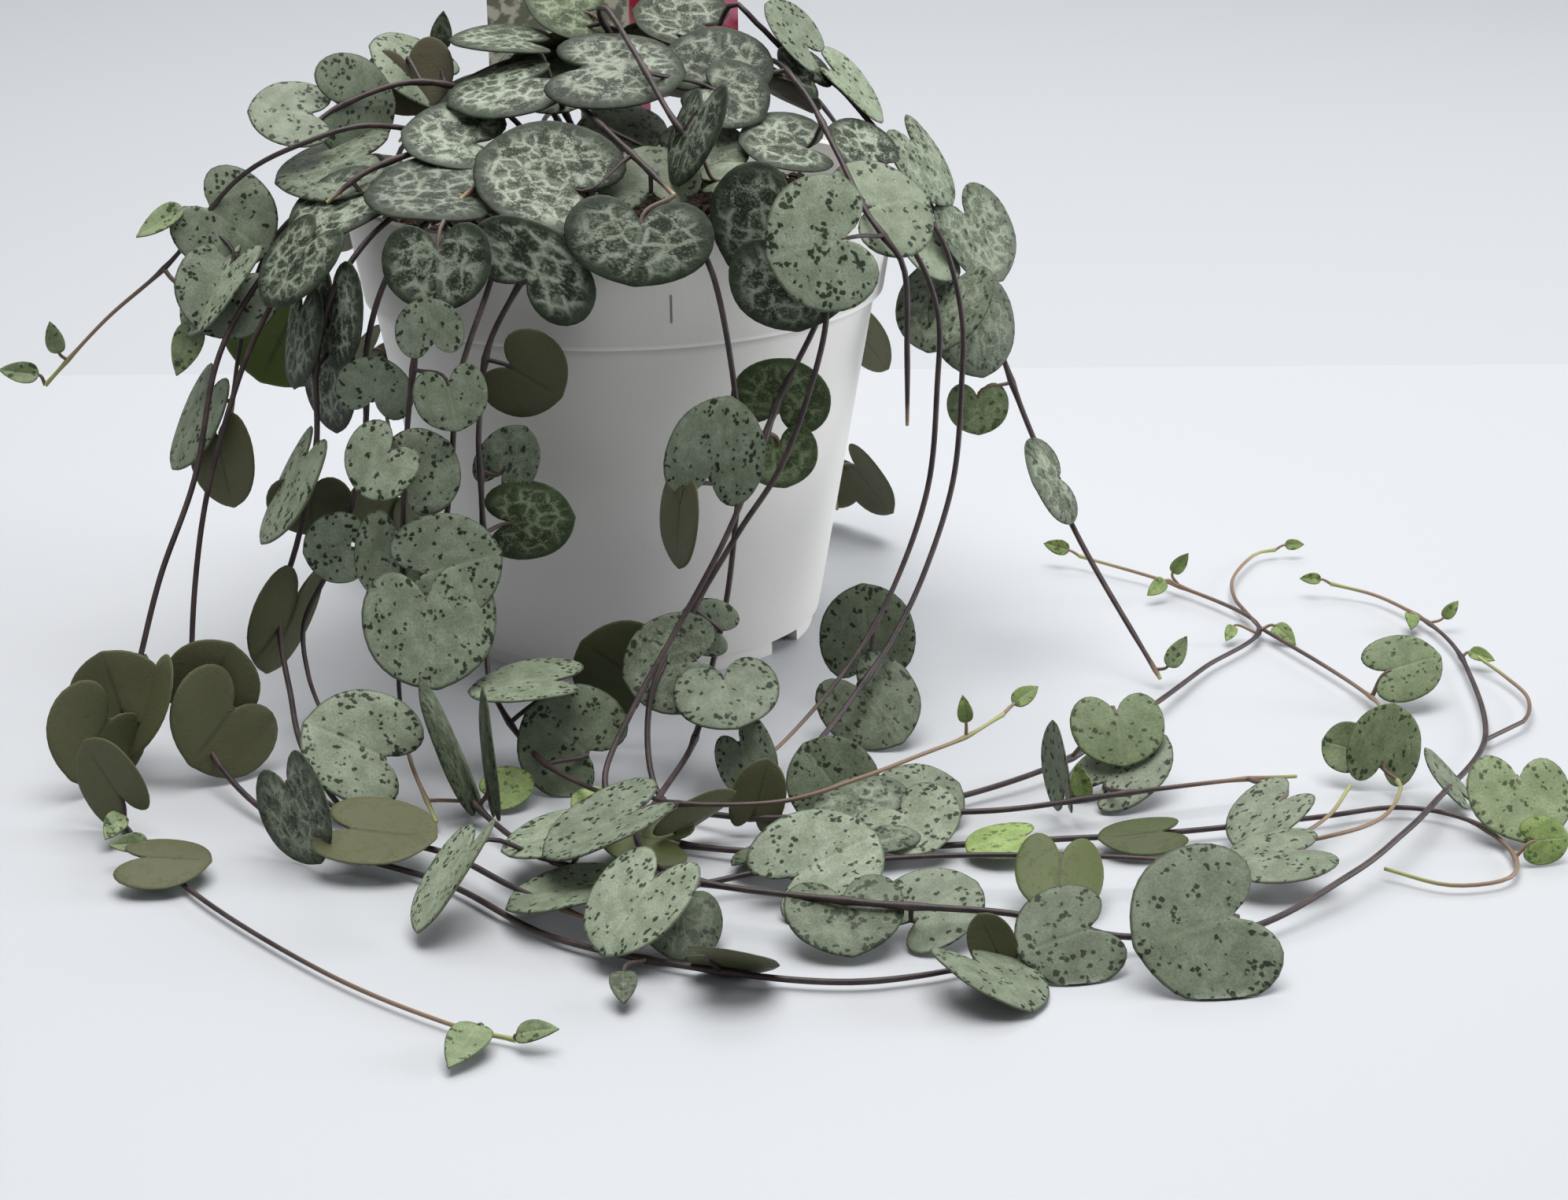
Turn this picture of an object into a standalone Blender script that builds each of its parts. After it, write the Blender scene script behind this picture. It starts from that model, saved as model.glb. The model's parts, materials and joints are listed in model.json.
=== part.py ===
"""A string of hearts in a white nursery pot, standing with its stems trailing on the surface.

Run in Blender 4.5: blender --background --python part.py
The frame: origin under the middle of the pot on the surface that it stands on, +Z up,
+X to the right of the plant and -Y towards its front. Lengths are in millimetres
in the values below, and become metres where a mesh is made.
"""

import math
import random

import bmesh
import bpy
from mathutils import Matrix, Vector

MM = 0.001

# Pot, a 10.5 cm nursery pot
POT_HEIGHT = 87.5
RIM_RADIUS = 52.5
COLLAR_BOTTOM = 67.0
COLLAR_BOTTOM_RADIUS = 49.2
COLLAR_STEP = 1.5
WALL = 1.3
RIM_ROUND = 0.5
FOOT_LINE = 3.2
FOOT_LINE_RADIUS = 36.2
FOOT_INSET = 1.3
FOOT_WIDTH = 2.2
BASE_THICKNESS = 1.8
RECESS = 3.0
BOSS_RADIUS = 9.0
POT_SEGMENTS = 30

# Slots in the foot and holes in the base
SLOT_ANGLES = (-35.0, 85.0, 205.0)
SLOT_WIDTH = 9.0
SLOT_HEIGHT = 2.4
DRAIN_RING = 22.0
DRAIN_RADIUS = 3.2
DRAIN_COUNT = 4
DRAIN_SEGMENTS = 8
DRAIN_DEPTH = 10.0

# Soil, stems and blades
GAP = 0.3
SOIL_TOP = 80.0
SOIL_MOUND = 1.5
STEM_BOTTOM = 70.0
STEM_RADIUS = 0.8
PETIOLE_RADIUS = 0.5
HOLE_RADIUS = 1.4
HOLE_SEGMENTS = 5
FINE_STEP = 2.0
STEM_TOLERANCE = 0.7
PETIOLE_DEPTH = 0.14
SURFACE_CLEARANCE = 0.4

# Half of a blade's outline for a length of 1 from notch to tip
HEART = ((0.42, -0.36), (0.82, 0.10), (0.61, 0.71))
SLIM = ((0.26, 0.08), (0.26, 0.60))
CUP = 0.12
BLADE_THICKNESS = 0.7
BLADE_SHARE = 0.06

# Plant label
LABEL_WIDTH = 50.0
LABEL_HEIGHT = 57.0
LABEL_THICKNESS = 0.8
LABEL_STAKE_WIDTH = 14.0
LABEL_STAKE_HEIGHT = 35.0
LABEL_STAKE_TAPER = 0.6
LABEL_SHOULDER = 4.0
LABEL_CORNER = 5.0
LABEL_CORNER_TURNS = (0.5, 1.1, math.pi / 2)
LABEL_DEPTH = 9.0
LABEL_SLOT_DEPTH = 30.0
LABEL_PLACE = (-0.7, 43.0, 72.0)
LABEL_LEAN = math.radians(-6.0)

def heart(base, tip, face, width=1.0):
    """A heart blade from its notch to its tip, with its upper side towards face."""
    return base, tip, face, tuple((width * x, y) for x, y in HEART)


def slim(base, tip, face):
    """A young, narrow blade."""
    return base, tip, face, SLIM


# Each node's stems, as routes through points, and its blades
CROWN_STEMS = {
    "front_left": [
        (-6, -4, 70), (-6, -4, 84), (-10, -12, 98), (-14, -28, 102), (-22, -40, 98), (-28, -46, 94),
    ],
    "front": [
        (-3, 5, 70), (-3, 5, 84), (-10, 0, 100), (-11, -14, 108), (-8, -25, 107), (1, -40, 101),
        (9, -52, 95),
    ],
    "front_right": [
        (4, 5, 70), (4, 5, 84), (3, 9, 104), (-3, 6, 117), (-2, -4, 120), (0, -11, 118.5),
        (2, -18, 116), (5, -27, 112), (9, -37, 106), (14, -42, 100),
    ],
    "right": [
        (11, 2, 70), (11, 2, 84), (18, 4, 97), (27, 0, 109), (33, -18, 107), (38, -36, 99),
        (42, -47, 91), (45, -52, 87), (48.5, -54, 81), (49, -53, 66), (49, -53, 53),
    ],
    "arch": [
        (13, 8, 70), (13, 8, 84), (16, 6, 104), (21, 2, 119), (26, 0, 116), (32, 0, 110), (40, 0, 105),
        (50, 0, 93), (57, 0, 83), (64, -2, 72), (68, -6, 64), (71, -10, 54), (76, -18, 40),
        (84, -29, 22), (96, -49, 2),
    ],
    "left": [
        (-11, 1, 70), (-11, 1, 84), (-17, 0, 96), (-26, -5, 105), (-38, -8, 108), (-50, -12, 105),
        (-57, -16, 101),
    ],
    "left_low": [
        (-9, -8, 70), (-9, -8, 84), (-17, -16, 94), (-32, -26, 99), (-44, -32, 97), (-52, -36, 92),
    ],
    "back_left": [
        (-8, 8, 70), (-8, 8, 84), (-14, 14, 100), (-24, 22, 104), (-35, 32, 99), (-44, 40, 88),
    ],
    "back": [
        (2, 12, 70), (2, 12, 84), (3, 19, 102), (5, 29, 106), (8, 37, 103),
    ],
    "back_right": [
        (9, 10, 70), (9, 10, 84), (17, 16, 100), (27, 22, 104), (37, 30, 98), (46, 37, 86),
    ],
}

CROWN_BLADES = [
    # Over the front of the collar
    heart((3, -57, 92), (1.5, -63, 82), (0, -1, 0.7), 1.35),
    heart((-8, -46, 95), (-25, -40, 100.5), (0, -0.82, 1), 0.8),
    heart((-31.5, -60, 89), (-31.5, -64, 78.5), (-0.2, -1, 0.4), 1.05),
    heart((-28, -43, 94.5), (-45, -41, 95), (0, -0.25, 1), 0.95),
    heart((-26, -26, 100), (-39, -24, 102), (0, -0.4, 1)),
    heart((37.5, -62, 89), (24, -65, 87), (0, -1, 0.3), 1.05),
    heart((43, -45, 90.5), (54, -40, 91), (0.2, -0.6, 0.8), 1.15),
    heart((33, -28, 98), (21, -30, 99.5), (0, -0.4, 1)),
    heart((47, -15, 93), (38, -14, 99), (0.3, -0.4, 1)),
    heart((14, -41, 107.5), (9.5, -46, 95.5), (-0.9, -0.35, 0.3), 0.9),
    heart((17, -20, 107.5), (26, -24, 103), (0, -0.6, 1)),
    # Left side
    heart((-51, -12, 105), (-41, -6, 104), (0, -1, 0.3)),
    heart((-56, -15, 104), (-67, -16, 105), (-0.2, -0.6, 1)),
    heart((-46, -21, 97), (-62, -24, 93), (0, -0.2, 1)),
    heart((-46, -34, 92.5), (-59, -37, 86.5), (-0.4, -0.5, 1), 0.8),
    # Top of the crown
    heart((-34, 6, 107), (-46, 4, 113), (0, -0.4, 1)),
    heart((-39, 2, 110), (-37, -3, 101), (0, 1, 0.4)),
    slim((-33, 4, 112), (-32, 4, 119), (0, -1, 0)),
    heart((-17, 0, 113.5), (-31, 0, 114.5), (0, -0.1, 1), 0.85),
    heart((-16, -14, 109), (-31, -18, 105.5), (0, -0.18, 1), 0.95),
    heart((-6, 12, 117), (-17, 10, 120), (0, -0.6, 1)),
    heart((-6, -20, 112), (12, -23, 111), (0, -0.42, 1), 0.85),
    heart((16, 11, 114), (3, 12, 117), (0, -0.4, 1)),
    heart((18, -13, 109), (19, -5, 116.5), (0, -0.9, 0.9), 1.15),
    heart((36, -5, 106), (30, -3, 112), (0.2, -0.5, 0.9), 0.7),
    # Along the arch on the right
    heart((35, -2, 112), (27.5, -3, 120), (0.6, -0.42, 0.66), 0.85),
    heart((41, 2, 106), (50, 3, 97), (0.7, -0.2, 0.8)),
    heart((55, 0, 93), (62.5, -2, 81.5), (0.8, -0.4, 0.5), 0.9),
    heart((65, -1, 79), (72, -4, 67), (0.8, -0.6, 0.2)),
    heart((59, -8, 75), (51, -14, 77), (0.2, -0.7, 0.8)),
    heart((65, -11, 64), (67, -15, 51), (0.5, -1, 0.2), 0.85),
    heart((61, -12, 68), (56, -18, 57), (-0.7, -0.7, 0.2)),
    heart((66, -14, 47), (66, -16, 40), (0, -1, 0)),
    heart((80, -26, 34), (74, -35, 36), (0.7, -0.4, 0.5)),
    slim((97.5, -48, 4), (101, -46, 9), (0, -1, 0.2)),
    # In the shade inside the crown
    heart((5, -43, 94), (4, -35, 100.5), (0, -1, 0.8), 1.1),
    heart((4, -27, 98), (-9, -28, 100), (0, -0.7, 1), 1.1),
    heart((12, -29, 97), (23, -27, 99), (0, -0.5, 1)),
    heart((17, -41, 95), (27, -40, 95.5), (0, -0.2, 1), 0.8),
    heart((-10, 7, 106), (-23, 7, 107), (0, -0.5, 1), 1.1),
]

STRANDS = {
    "far_left_shoot": (
        [
            [
                (-20, -9, 70), (-20, -9, 82), (-28, -13, 96), (-43, -23, 103), (-56, -27, 101),
                (-69, -25, 94), (-82, -22, 79), (-95, -20, 68), (-107, -20, 56),
            ],
        ],
        [
            heart((-74, -24, 89), (-64, -27, 81), (0, -1, 0.4), 0.9),
            slim((-79, -23, 89), (-87, -25, 84), (0, -0.6, 1)),
            heart((-70, -29, 80), (-79, -33, 68), (-0.7, -0.5, 0.5), 0.65),
            heart((-70, -29, 77), (-76, -35, 69), (0, -1, 0.2)),
            slim((-77, -32, 70), (-81, -34, 61), (-0.3, -1, 0)),
            slim((-108, -20, 58), (-115, -20, 59), (0, -1, 0.5)),
            slim((-104, -20, 62), (-105, -20, 68), (0, -1, 0)),
        ],
    ),
    "left_outer": (
        [
            [
                (-31, -15, 70), (-31, -15, 82), (-40, -19, 91), (-50, -24, 90), (-59, -29, 84),
                (-67, -34, 75), (-73, -40, 64), (-77, -49, 46), (-83, -58, 31), (-87, -66, 17),
                (-90, -76, 6), (-89, -90, 1.5), (-83, -106, 1.3), (-68, -132, 1.3), (-47, -159, 1.3),
                (-29, -176, 1.3), (-19, -182, 1.3),
            ],
        ],
        [
            heart((-91, -78, 11), (-97, -85, 3), (-0.3, 1, 0.2)),
            heart((-84.5, -70, 16), (-88, -76, 4), (0.8, 0.5, 0.2)),
            heart((-89, -74, 12), (-92, -71, 22), (0, 1, 0)),
            heart((-86, -99, 4), (-92, -95, 13), (0.6, 0.7, -0.3), 0.7),
            heart((-80, -119, 4), (-69, -120, 3.5), (0, 0.1, -1), 0.9),
            slim((-80, -113, 4), (-86, -114, 4), (0, -1, 1)),
            slim((-86, -101, 4), (-88, -107, 2), (0, -1, 0.3)),
            slim((-24, -180, 3), (-28, -190, 2), (0, -0.5, 1)),
            slim((-19, -182, 2), (-13, -184, 4), (0, -0.6, 1)),
        ],
    ),
    "left_inner": (
        [
            [
                (-27, -19, 70), (-27, -19, 82), (-37, -26, 91), (-47, -33, 90), (-57, -39, 83),
                (-63, -43, 74), (-68, -47, 64), (-74, -53, 46), (-77, -58, 30), (-78, -64, 15),
                (-76, -73, 8), (-70, -86, 4), (-61, -100, 2), (-50, -113, 1.5), (-31, -128, 1.5),
                (-14, -149, 1.5), (9, -162, 1.5), (30, -168, 1.5), (49, -164, 1.5), (60, -158, 2),
            ],
        ],
        [
            heart((-70, -74, 11), (-77, -82, 4), (0.2, 1, 0.3)),
            heart((-54.5, -45, 87), (-62.5, -49, 77), (-0.8, -0.6, 0.6), 0.9),
            heart((-75, -71, 13), (-70, -69, 22), (0, 1, 0)),
            slim((-3.5, -166, 3.5), (-3.5, -173, 1.5), (0, -0.5, 1)),
            heart((9.5, -166, 5.5), (19.5, -167, 4), (0, 0.6, 0.8)),
            heart((48.5, -168, 4), (55.5, -179, 1.5), (0.3, 0, 0.9), 0.8),
            heart((52, -164, 3.5), (49.5, -162, 9), (0, 1, 0), 0.7),
        ],
    ),
    "left_short": (
        [
            [
                (-33, -10, 70), (-33, -10, 82), (-43, -13, 91), (-53, -17, 90), (-62, -22, 84),
                (-67, -26, 75), (-70, -29, 64), (-72, -32, 53),
            ],
        ],
        [
            heart((-61, -18, 68), (-68, -18, 55), (0, 1, 0)),
            heart((-76, -31, 56), (-83, -33, 43), (-0.9, -0.4, 0.3), 0.75),
            heart((-74, -35, 49), (-72, -38, 37), (0.5, 0.7, -0.2), 0.75),
        ],
    ),
    "left_curtain": (
        [
            [
                (-24, -24, 70), (-24, -24, 82), (-33, -33, 91), (-42, -42, 89), (-50, -49, 80),
                (-54, -51, 68), (-55, -52, 52), (-59, -52, 36), (-63, -54, 24), (-63, -57, 18),
                (-61, -66, 12), (-57, -84, 7), (-46, -108, 3.5), (-31, -122, 4), (-20, -136, 4),
                (-7, -150, 4),
            ],
        ],
        [
            heart((-51, -47, 79), (-51, -50, 65), (-1, -0.5, 0.1)),
            heart((-52, -44, 66), (-52, -47, 53), (-1, -0.6, 0)),
            heart((-57, -43, 74), (-59, -46, 61), (-1, -0.4, 0)),
            heart((-57, -54, 50), (-65, -57, 36), (-0.9, -0.3, 0.5), 0.7),
            heart((-57, -50, 43), (-57, -47, 34), (0, 1, 0.2)),
            heart((-60, -53, 25), (-66, -55, 11), (-0.8, 0.6, 0.3), 0.75),
            heart((-57, -112, 12.5), (-52, -118, 1.5), (-0.8, -0.4, 0.5), 0.8),
            heart((-47, -115.5, 6), (-33, -119.5, 5.5), (0, 0.25, -1), 0.75),
            heart((-8, -139.5, 5.5), (-21.5, -141.5, 3.5), (0, 0.1, 1), 0.85),
        ],
    ),
    "left_curtain_front": (
        [
            [
                (-20, -28, 70), (-20, -28, 82), (-27, -37, 91), (-34, -45, 90), (-41, -52, 82),
                (-45, -54, 70), (-46, -54, 56), (-49, -54, 42), (-54, -54, 30), (-59, -54, 20),
                (-58, -62, 13), (-54, -76, 9), (-50, -92, 4),
            ],
        ],
        [
            heart((-50, -56, 35), (-58, -57, 34), (0, -1, 0)),
            heart((-44, -58, 62), (-42, -60, 70), (0, -1, 0.3)),
            heart((-43, -94, 10), (-56, -92, 16), (0, -0.8, 0.9), 0.88),
        ],
    ),
    "front_left": (
        [
            [
                (-16, -31, 70), (-16, -31, 82), (-22, -42, 91), (-28, -51, 90), (-34, -59, 80),
                (-37, -62, 66), (-39, -64, 50), (-40, -66, 35), (-41, -70, 24), (-41, -77, 14),
                (-39, -88, 7), (-34, -104, 2),
            ],
        ],
        [
            heart((-33, -66, 74), (-34, -68, 82), (0, -1, 0.3), 0.87),
            heart((-30.5, -67.5, 67), (-29, -69, 59), (0, -1, 0.2), 0.95),
            heart((-41, -66, 55), (-47, -67, 48), (0, -0.8, 1)),
            heart((-38, -66, 49.5), (-31, -66.5, 56.5), (0, -1, 0.5), 0.95),
            heart((-41, -63, 38), (-44, -65, 27), (-0.6, -0.8, 0)),
            heart((-24, -94, 1.5), (-18.5, -91, 3.5), (0, -0.6, 0.9), 0.8),
        ],
    ),
    "front_left_long": (
        [
            [
                (-11, -32, 70), (-11, -32, 82), (-16, -43, 89.5), (-20, -52, 88.8), (-24, -55, 79),
                (-29, -63, 66), (-31, -64, 50), (-33, -66, 38), (-37, -71, 26), (-37, -78, 15),
                (-33, -90, 7), (-25, -106, 3), (-13, -124, 2.5), (4, -134, 2.5), (22, -132, 4),
                (46, -135, 6.5), (69, -137, 6.5), (88, -137, 5), (100, -131, 4), (111, -120, 4),
                (118, -107, 4),
            ],
            [
                (100, -131, 4), (108, -131, 5.5), (116, -126, 5), (122, -118, 4), (126, -109, 4),
                (127, -103, 3),
            ],
        ],
        [
            heart((-36, -73, 35), (-22.5, -73.5, 38.5), (0, -1, 0.4), 0.84),
            heart((-35.5, -76, 31.5), (-34, -83, 17.5), (0, -1, 0.6), 0.9),
            heart((-29, -98, 4), (-36, -92, 20), (1, -0.2, 0.3), 0.34),
            heart((-25, -102, 4), (-26, -98, 20), (-1, -0.2, 0.2), 0.34),
            heart((-9, -123.5, 8), (-22.5, -125.5, 6), (0, 0.05, 1), 0.85),
            heart((-27, -136, 10.5), (-34.5, -148, 2.5), (-0.75, -0.3, 0.7), 0.45),
            heart((23.5, -138, 3.5), (37, -131, 7.5), (-0.1, -0.8, 0.9), 0.75),
            heart((65, -139, 7.5), (63, -150, 2.5), (0, 0.8, -0.8), 0.7),
            heart((103.5, -136.5, 6), (91, -139.5, 4.5), (0, -0.15, 1), 0.7),
            heart((125, -100, 4), (127, -98, 14), (0, -1, 0.3), 0.75),
            heart((121, -96, 6), (116, -94, 7), (0, -1, 0.5)),
        ],
    ),
    "front_left_shoot": (
        [
            [
                (-5, -33, 70), (-5, -33, 82), (-10, -44, 89.5), (-13, -52, 89.3), (-18, -54, 81),
                (-24, -56, 70), (-26, -61, 57), (-26, -63, 48), (-26, -64, 35), (-26, -68, 22),
                (-25, -76, 14), (-17, -90, 7), (-6, -105, 6.5), (0, -113, 9.5), (6, -121, 11),
                (22, -124, 12), (35, -118, 13), (46, -111, 14), (54, -104, 14), (61, -97, 15),
            ],
        ],
        [
            heart((-17, -57.5, 82), (-11, -56.5, 90), (-0.1, -1, 0.2), 1.5),
            heart((-20, -58, 67), (-11.5, -58, 61.5), (0, 1, 0.1)),
            heart((-22.5, -59, 48.5), (-18, -60, 57), (0, -1, 0), 0.7),
            heart((-21.5, -60, 39.5), (-10, -61, 40.5), (0, -1, 0), 0.78),
            heart((-14.5, -82, 18), (-29, -81, 16.5), (0, 0, 1), 0.85),
            heart((-9, -88, 5), (-19, -86, 12), (0, -1, 0.4)),
            heart((-1, -132, 14.5), (-15.5, -136, 9), (0, 0.05, 1), 0.8),
            slim((54, -104, 16.5), (53.5, -103.5, 21), (0, -1, 0)),
            slim((63, -95, 16), (67.5, -92, 18), (0, -1, 1)),
        ],
    ),
    "centre_front": (
        [
            [
                (3, -34, 70), (3, -34, 82), (7, -44, 91), (10, -53, 91), (15, -60, 83), (18, -61, 66),
                (19, -62, 50), (18, -62, 39), (16, -64, 25), (12, -70, 11), (9, -86, 7),
                (3, -107, 6.5), (-1, -125, 7), (6, -141, 7), (32, -152, 7), (55, -156, 6),
                (71, -159, 3), (91, -157, 2.5), (110, -143, 4.5), (121, -130, 5), (130, -116, 4.5),
                (147, -84, 2), (153, -50, 2), (153, -28, 2), (147, -9, 2), (138, -2, 3),
            ],
            [
                (147, -84, 2), (156, -76, 2), (160, -65, 2), (159, -54, 2), (156, -46, 3),
            ],
        ],
        [
            heart((13.5, -72.5, 51), (17, -74, 65), (0, -1, 0.1), 0.72),
            heart((8.5, -74, 47), (7.5, -76, 35.5), (0.9, 0.4, 0), 0.8),
            heart((14.5, -86, 19), (16.5, -95.5, 13.5), (0, -0.8, 0.8)),
            heart((1.5, -150, 11), (-6.5, -160, 3.5), (-0.5, -0.75, 0.8), 0.68),
            heart((5.5, -150, 7), (4, -158, 1.5), (0.4, -0.7, 0.8), 0.9),
            heart((30, -149, 6.5), (31, -160, 2), (0, -0.8, 0.8), 0.95),
            heart((41, -151.5, 3), (51, -146, 7), (-0.2, -0.5, 1), 0.8),
            heart((66, -162, 5), (55, -165.5, 3), (-0.1, -0.7, 0.8), 0.9),
            heart((86.5, -167, 8), (71.5, -170, 5), (0, -0.73, 0.68)),
            heart((136, -109, 3), (131, -104, 9), (0.8, -0.6, 0.3), 0.45),
            slim((149.5, -21, 3), (148.5, -26, 2), (0, -1, 0.5)),
            slim((155, -43, 3), (159, -46, 2), (0, -1, 1)),
            slim((155, -24, 3), (158, -23, 6), (0, -1, 0.5)),
            slim((136, -2, 4), (132, -1, 4), (0, -1, 0.5)),
        ],
    ),
    "centre_right": (
        [
            [
                (10, -32, 70), (10, -32, 82), (17, -42, 91), (24, -50, 91), (33, -58, 84),
                (34, -62, 73), (27, -65, 52), (18, -69, 39), (9, -75, 26), (2, -85, 15), (3, -98, 3),
                (14, -108, 3), (30, -112, 4), (45, -113, 4.5), (60, -114, 5), (80, -109, 5),
                (99, -105, 5), (110, -102, 4),
            ],
        ],
        [
            heart((28.5, -59.5, 85), (29.5, -62, 73), (0, -1, 0.2), 1.1),
            heart((28, -52, 91), (18, -54, 83), (0, -1, 0.35), 1.15),
            heart((10, -80, 20), (-2.5, -81, 18), (0, -1, 0.7), 0.88),
            heart((14.5, -71, 22), (7.5, -72, 25.5), (0, -1, 0.2), 0.8),
            heart((-0.5, -72, 14.5), (-9.5, -72, 21.5), (0, 1, 0.1)),
            heart((18.5, -110, 3), (21, -108, 11.5), (0, 1, 0), 0.62),
            heart((40, -116, 5.5), (27, -117, 4.5), (0, -0.25, 1)),
            heart((43.5, -107, 3.5), (53, -103, 5.5), (0, -0.5, 1), 0.95),
            heart((42, -116, 6), (47, -125, 3), (0, -0.6, 1)),
            heart((33, -107, 4), (27, -104, 12), (0, -1, 0.3), 0.9),
            heart((104, -119, 7), (95, -124, 2), (-0.6, -0.5, 0.8), 0.65),
            heart((78, -101, 3), (89, -95, 8.5), (-0.3, -0.5, 0.8), 0.65),
            heart((70, -107, 4), (68.5, -104, 15), (-0.9, -0.3, 0.1), 0.5),
            slim((73, -109, 4), (72, -107.5, 10), (0, -1, 0.2)),
        ],
    ),
    "centre_back": (
        [
            [
                (16, -29, 70), (16, -29, 82), (24, -37, 91), (32, -44, 90), (37, -51, 83),
                (33, -56, 73), (26, -59, 60), (21, -66, 49), (15, -73, 38), (7, -80, 26),
                (-1, -89, 15), (-6, -99, 6), (0, -112, 2), (20, -121, 2), (45, -121, 2), (66, -120, 2),
                (85, -119, 2), (110, -115, 2), (125, -112, 2), (135, -118, 2), (139, -130, 1.5),
                (136, -140, 1.5), (126, -142, 1.5), (117, -136, 2),
            ],
        ],
        [
            heart((26, -57, 57.5), (28.5, -58, 67), (0, -1, 0), 1.1),
            heart((26, -58, 52), (27, -59, 44), (0, -1, 0)),
            heart((5.5, -116.5, 4.5), (15.5, -112.5, 9), (0, 0.72, 0.69), 0.6),
            heart((61.5, -120.5, 3), (52, -124, 2.5), (0, -0.05, 1), 0.75),
            heart((84, -121, 3), (73.5, -122, 2.5), (0, 0.1, -1), 0.7),
            heart((-6, -102, 2.5), (-11.5, -99.5, 4), (0, -0.6, 0.9), 0.8),
            heart((24, -124, 4), (14, -127, 3), (0, 0.3, 1), 0.9),
            heart((4, -118, 3), (-7, -116, 4), (0, 0.3, -1), 0.8),
            heart((143, -118, 9), (142, -127, 1.5), (0, -0.8, 0.7), 0.9),
            heart((142, -132, 3), (148, -131, 3), (0, -0.9, 0.5), 0.8),
        ],
    ),
    "right_front": (
        [
            [
                (22, -25, 70), (22, -25, 82), (32, -33, 90), (41, -41, 90), (50, -46, 84),
                (55, -46, 72), (55, -46, 58), (53, -49, 40), (46, -57, 24), (37, -67, 13),
                (24, -83, 5), (15, -91, 2.5),
            ],
        ],
        [
            heart((42, -53, 10.5), (41, -51, 23), (0, -1, 0.2), 0.85),
            heart((17, -92, 8.3), (21.5, -99.5, 1.5), (-0.8, -0.5, 0.4), 0.75),
        ],
    ),
    "right_runner": (
        [
            [
                (27, -19, 70), (27, -19, 82), (38, -26, 90), (48, -32, 90), (56, -37, 84),
                (60, -39, 70), (60, -40, 56), (58, -45, 40), (52, -54, 26), (45, -63, 16),
                (36, -74, 8), (28, -86, 3), (27, -96, 2), (31, -104, 2), (42, -104, 2), (55, -100, 2),
                (74, -88, 3), (91, -66, 3), (105, -44, 2), (119.5, -23, 2), (108.5, 2, 2), (91, 20, 3),
            ],
            [
                (119.5, -23, 2), (118, -8, 2), (120, 6, 2), (127, 20, 2), (132, 23, 2),
            ],
            [
                (119.5, -23, 2), (126, -41, 2), (131, -57, 2), (132, -70, 3), (128, -82, 3),
            ],
        ],
        [
            heart((39, -66, 8.5), (46, -75, 1), (0, -1, 0.6), 0.8),
            heart((80.5, -94, 13.5), (81, -101, 6.5), (0, -0.8, 0.8)),
            heart((135, -62, 7), (145, -60, 9), (0, -0.7, 0.8), 0.8),
            slim((105, 0, 4), (101, -3, 2), (0, -1, 0.4)),
            slim((107, 2, 5), (110, 2, 9), (0, -1, 0.4)),
            slim((122, -25, 3), (125, -30, 1), (0, -1, 0.6)),
            slim((114, -25, 3), (112, -28, 1), (0, -1, 0.6)),
            slim((89, 21, 4), (84, 23, 5), (0, -1, 0.4)),
            slim((134, 23, 3), (138, 23, 3), (0, -1, 0.4)),
        ],
    ),
}

# Strands behind the pot: angle round the rim, height of the end and length of a blade
BACK_STRANDS = ((48.0, 6.0, 12.0), (106.0, 28.0, 13.0), (138.0, 10.0, 11.0))

# Where each of them leaves the soil and crosses the rim, as radius and height, and then hangs
BACK_RISE = ((34.0, 70.0), (34.0, 82.0), (44.0, 91.0), (54.0, 90.0), (61.0, 82.0))
BACK_HANG_RADIUS = 63.0
BACK_HANG_LENGTHS = 3
BACK_BLADE_RADIUS = 66.0
BACK_PAIR_TOP = 74.0
BACK_PAIR_LOW = 12.0
BACK_PAIR_SPACING = 30.0

# Blades over the back of the crown: radius, height and number
BACK_TIERS = ((15.0, 113.0, 3), (26.0, 107.0, 4), (34.0, 101.0, 4))
BACK_ARC = (22.0, 158.0)
BACK_CROWN_REACH = 11.0
BACK_CROWN_FALL = 6.0


def clear_scene():
    for obj in list(bpy.data.objects):
        bpy.data.objects.remove(obj, do_unlink=True)


def new_collection(name):
    collection = bpy.data.collections.new(name)
    bpy.context.scene.collection.children.link(collection)
    return collection


def new_material(name, color, roughness, metallic=0.0):
    material = bpy.data.materials.new(name)
    material.use_nodes = True
    shader = material.node_tree.nodes["Principled BSDF"]
    shader.inputs["Base Color"].default_value = (*color, 1.0)
    shader.inputs["Roughness"].default_value = roughness
    shader.inputs["Metallic"].default_value = metallic
    return material


def object_from_bmesh(name, bm, collection, material=None):
    mesh = bpy.data.meshes.new(name)
    bm.to_mesh(mesh)
    bm.free()
    obj = bpy.data.objects.new(name, mesh)
    collection.objects.link(obj)
    if material:
        mesh.materials.append(material)
    return obj


def smooth_route(points, step):
    """Points about a step apart on a Catmull-Rom curve through the route, whose first length is straight."""
    knots = [Vector(p) for p in points]
    route = [knots[0]]
    knots.append(2 * knots[-1] - knots[-2])
    for before, start, end, after in zip(knots, knots[1:], knots[2:], knots[3:]):
        count = max(1, round((end - start).length / step))
        for i in range(count):
            t = i / count
            route.append(
                0.5
                * (
                    2 * start
                    + (end - before) * t
                    + (2 * before - 5 * start + 4 * end - after) * t**2
                    + (3 * start - before - 3 * end + after) * t**3
                )
            )
    route.append(knots[-2])
    return route


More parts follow.
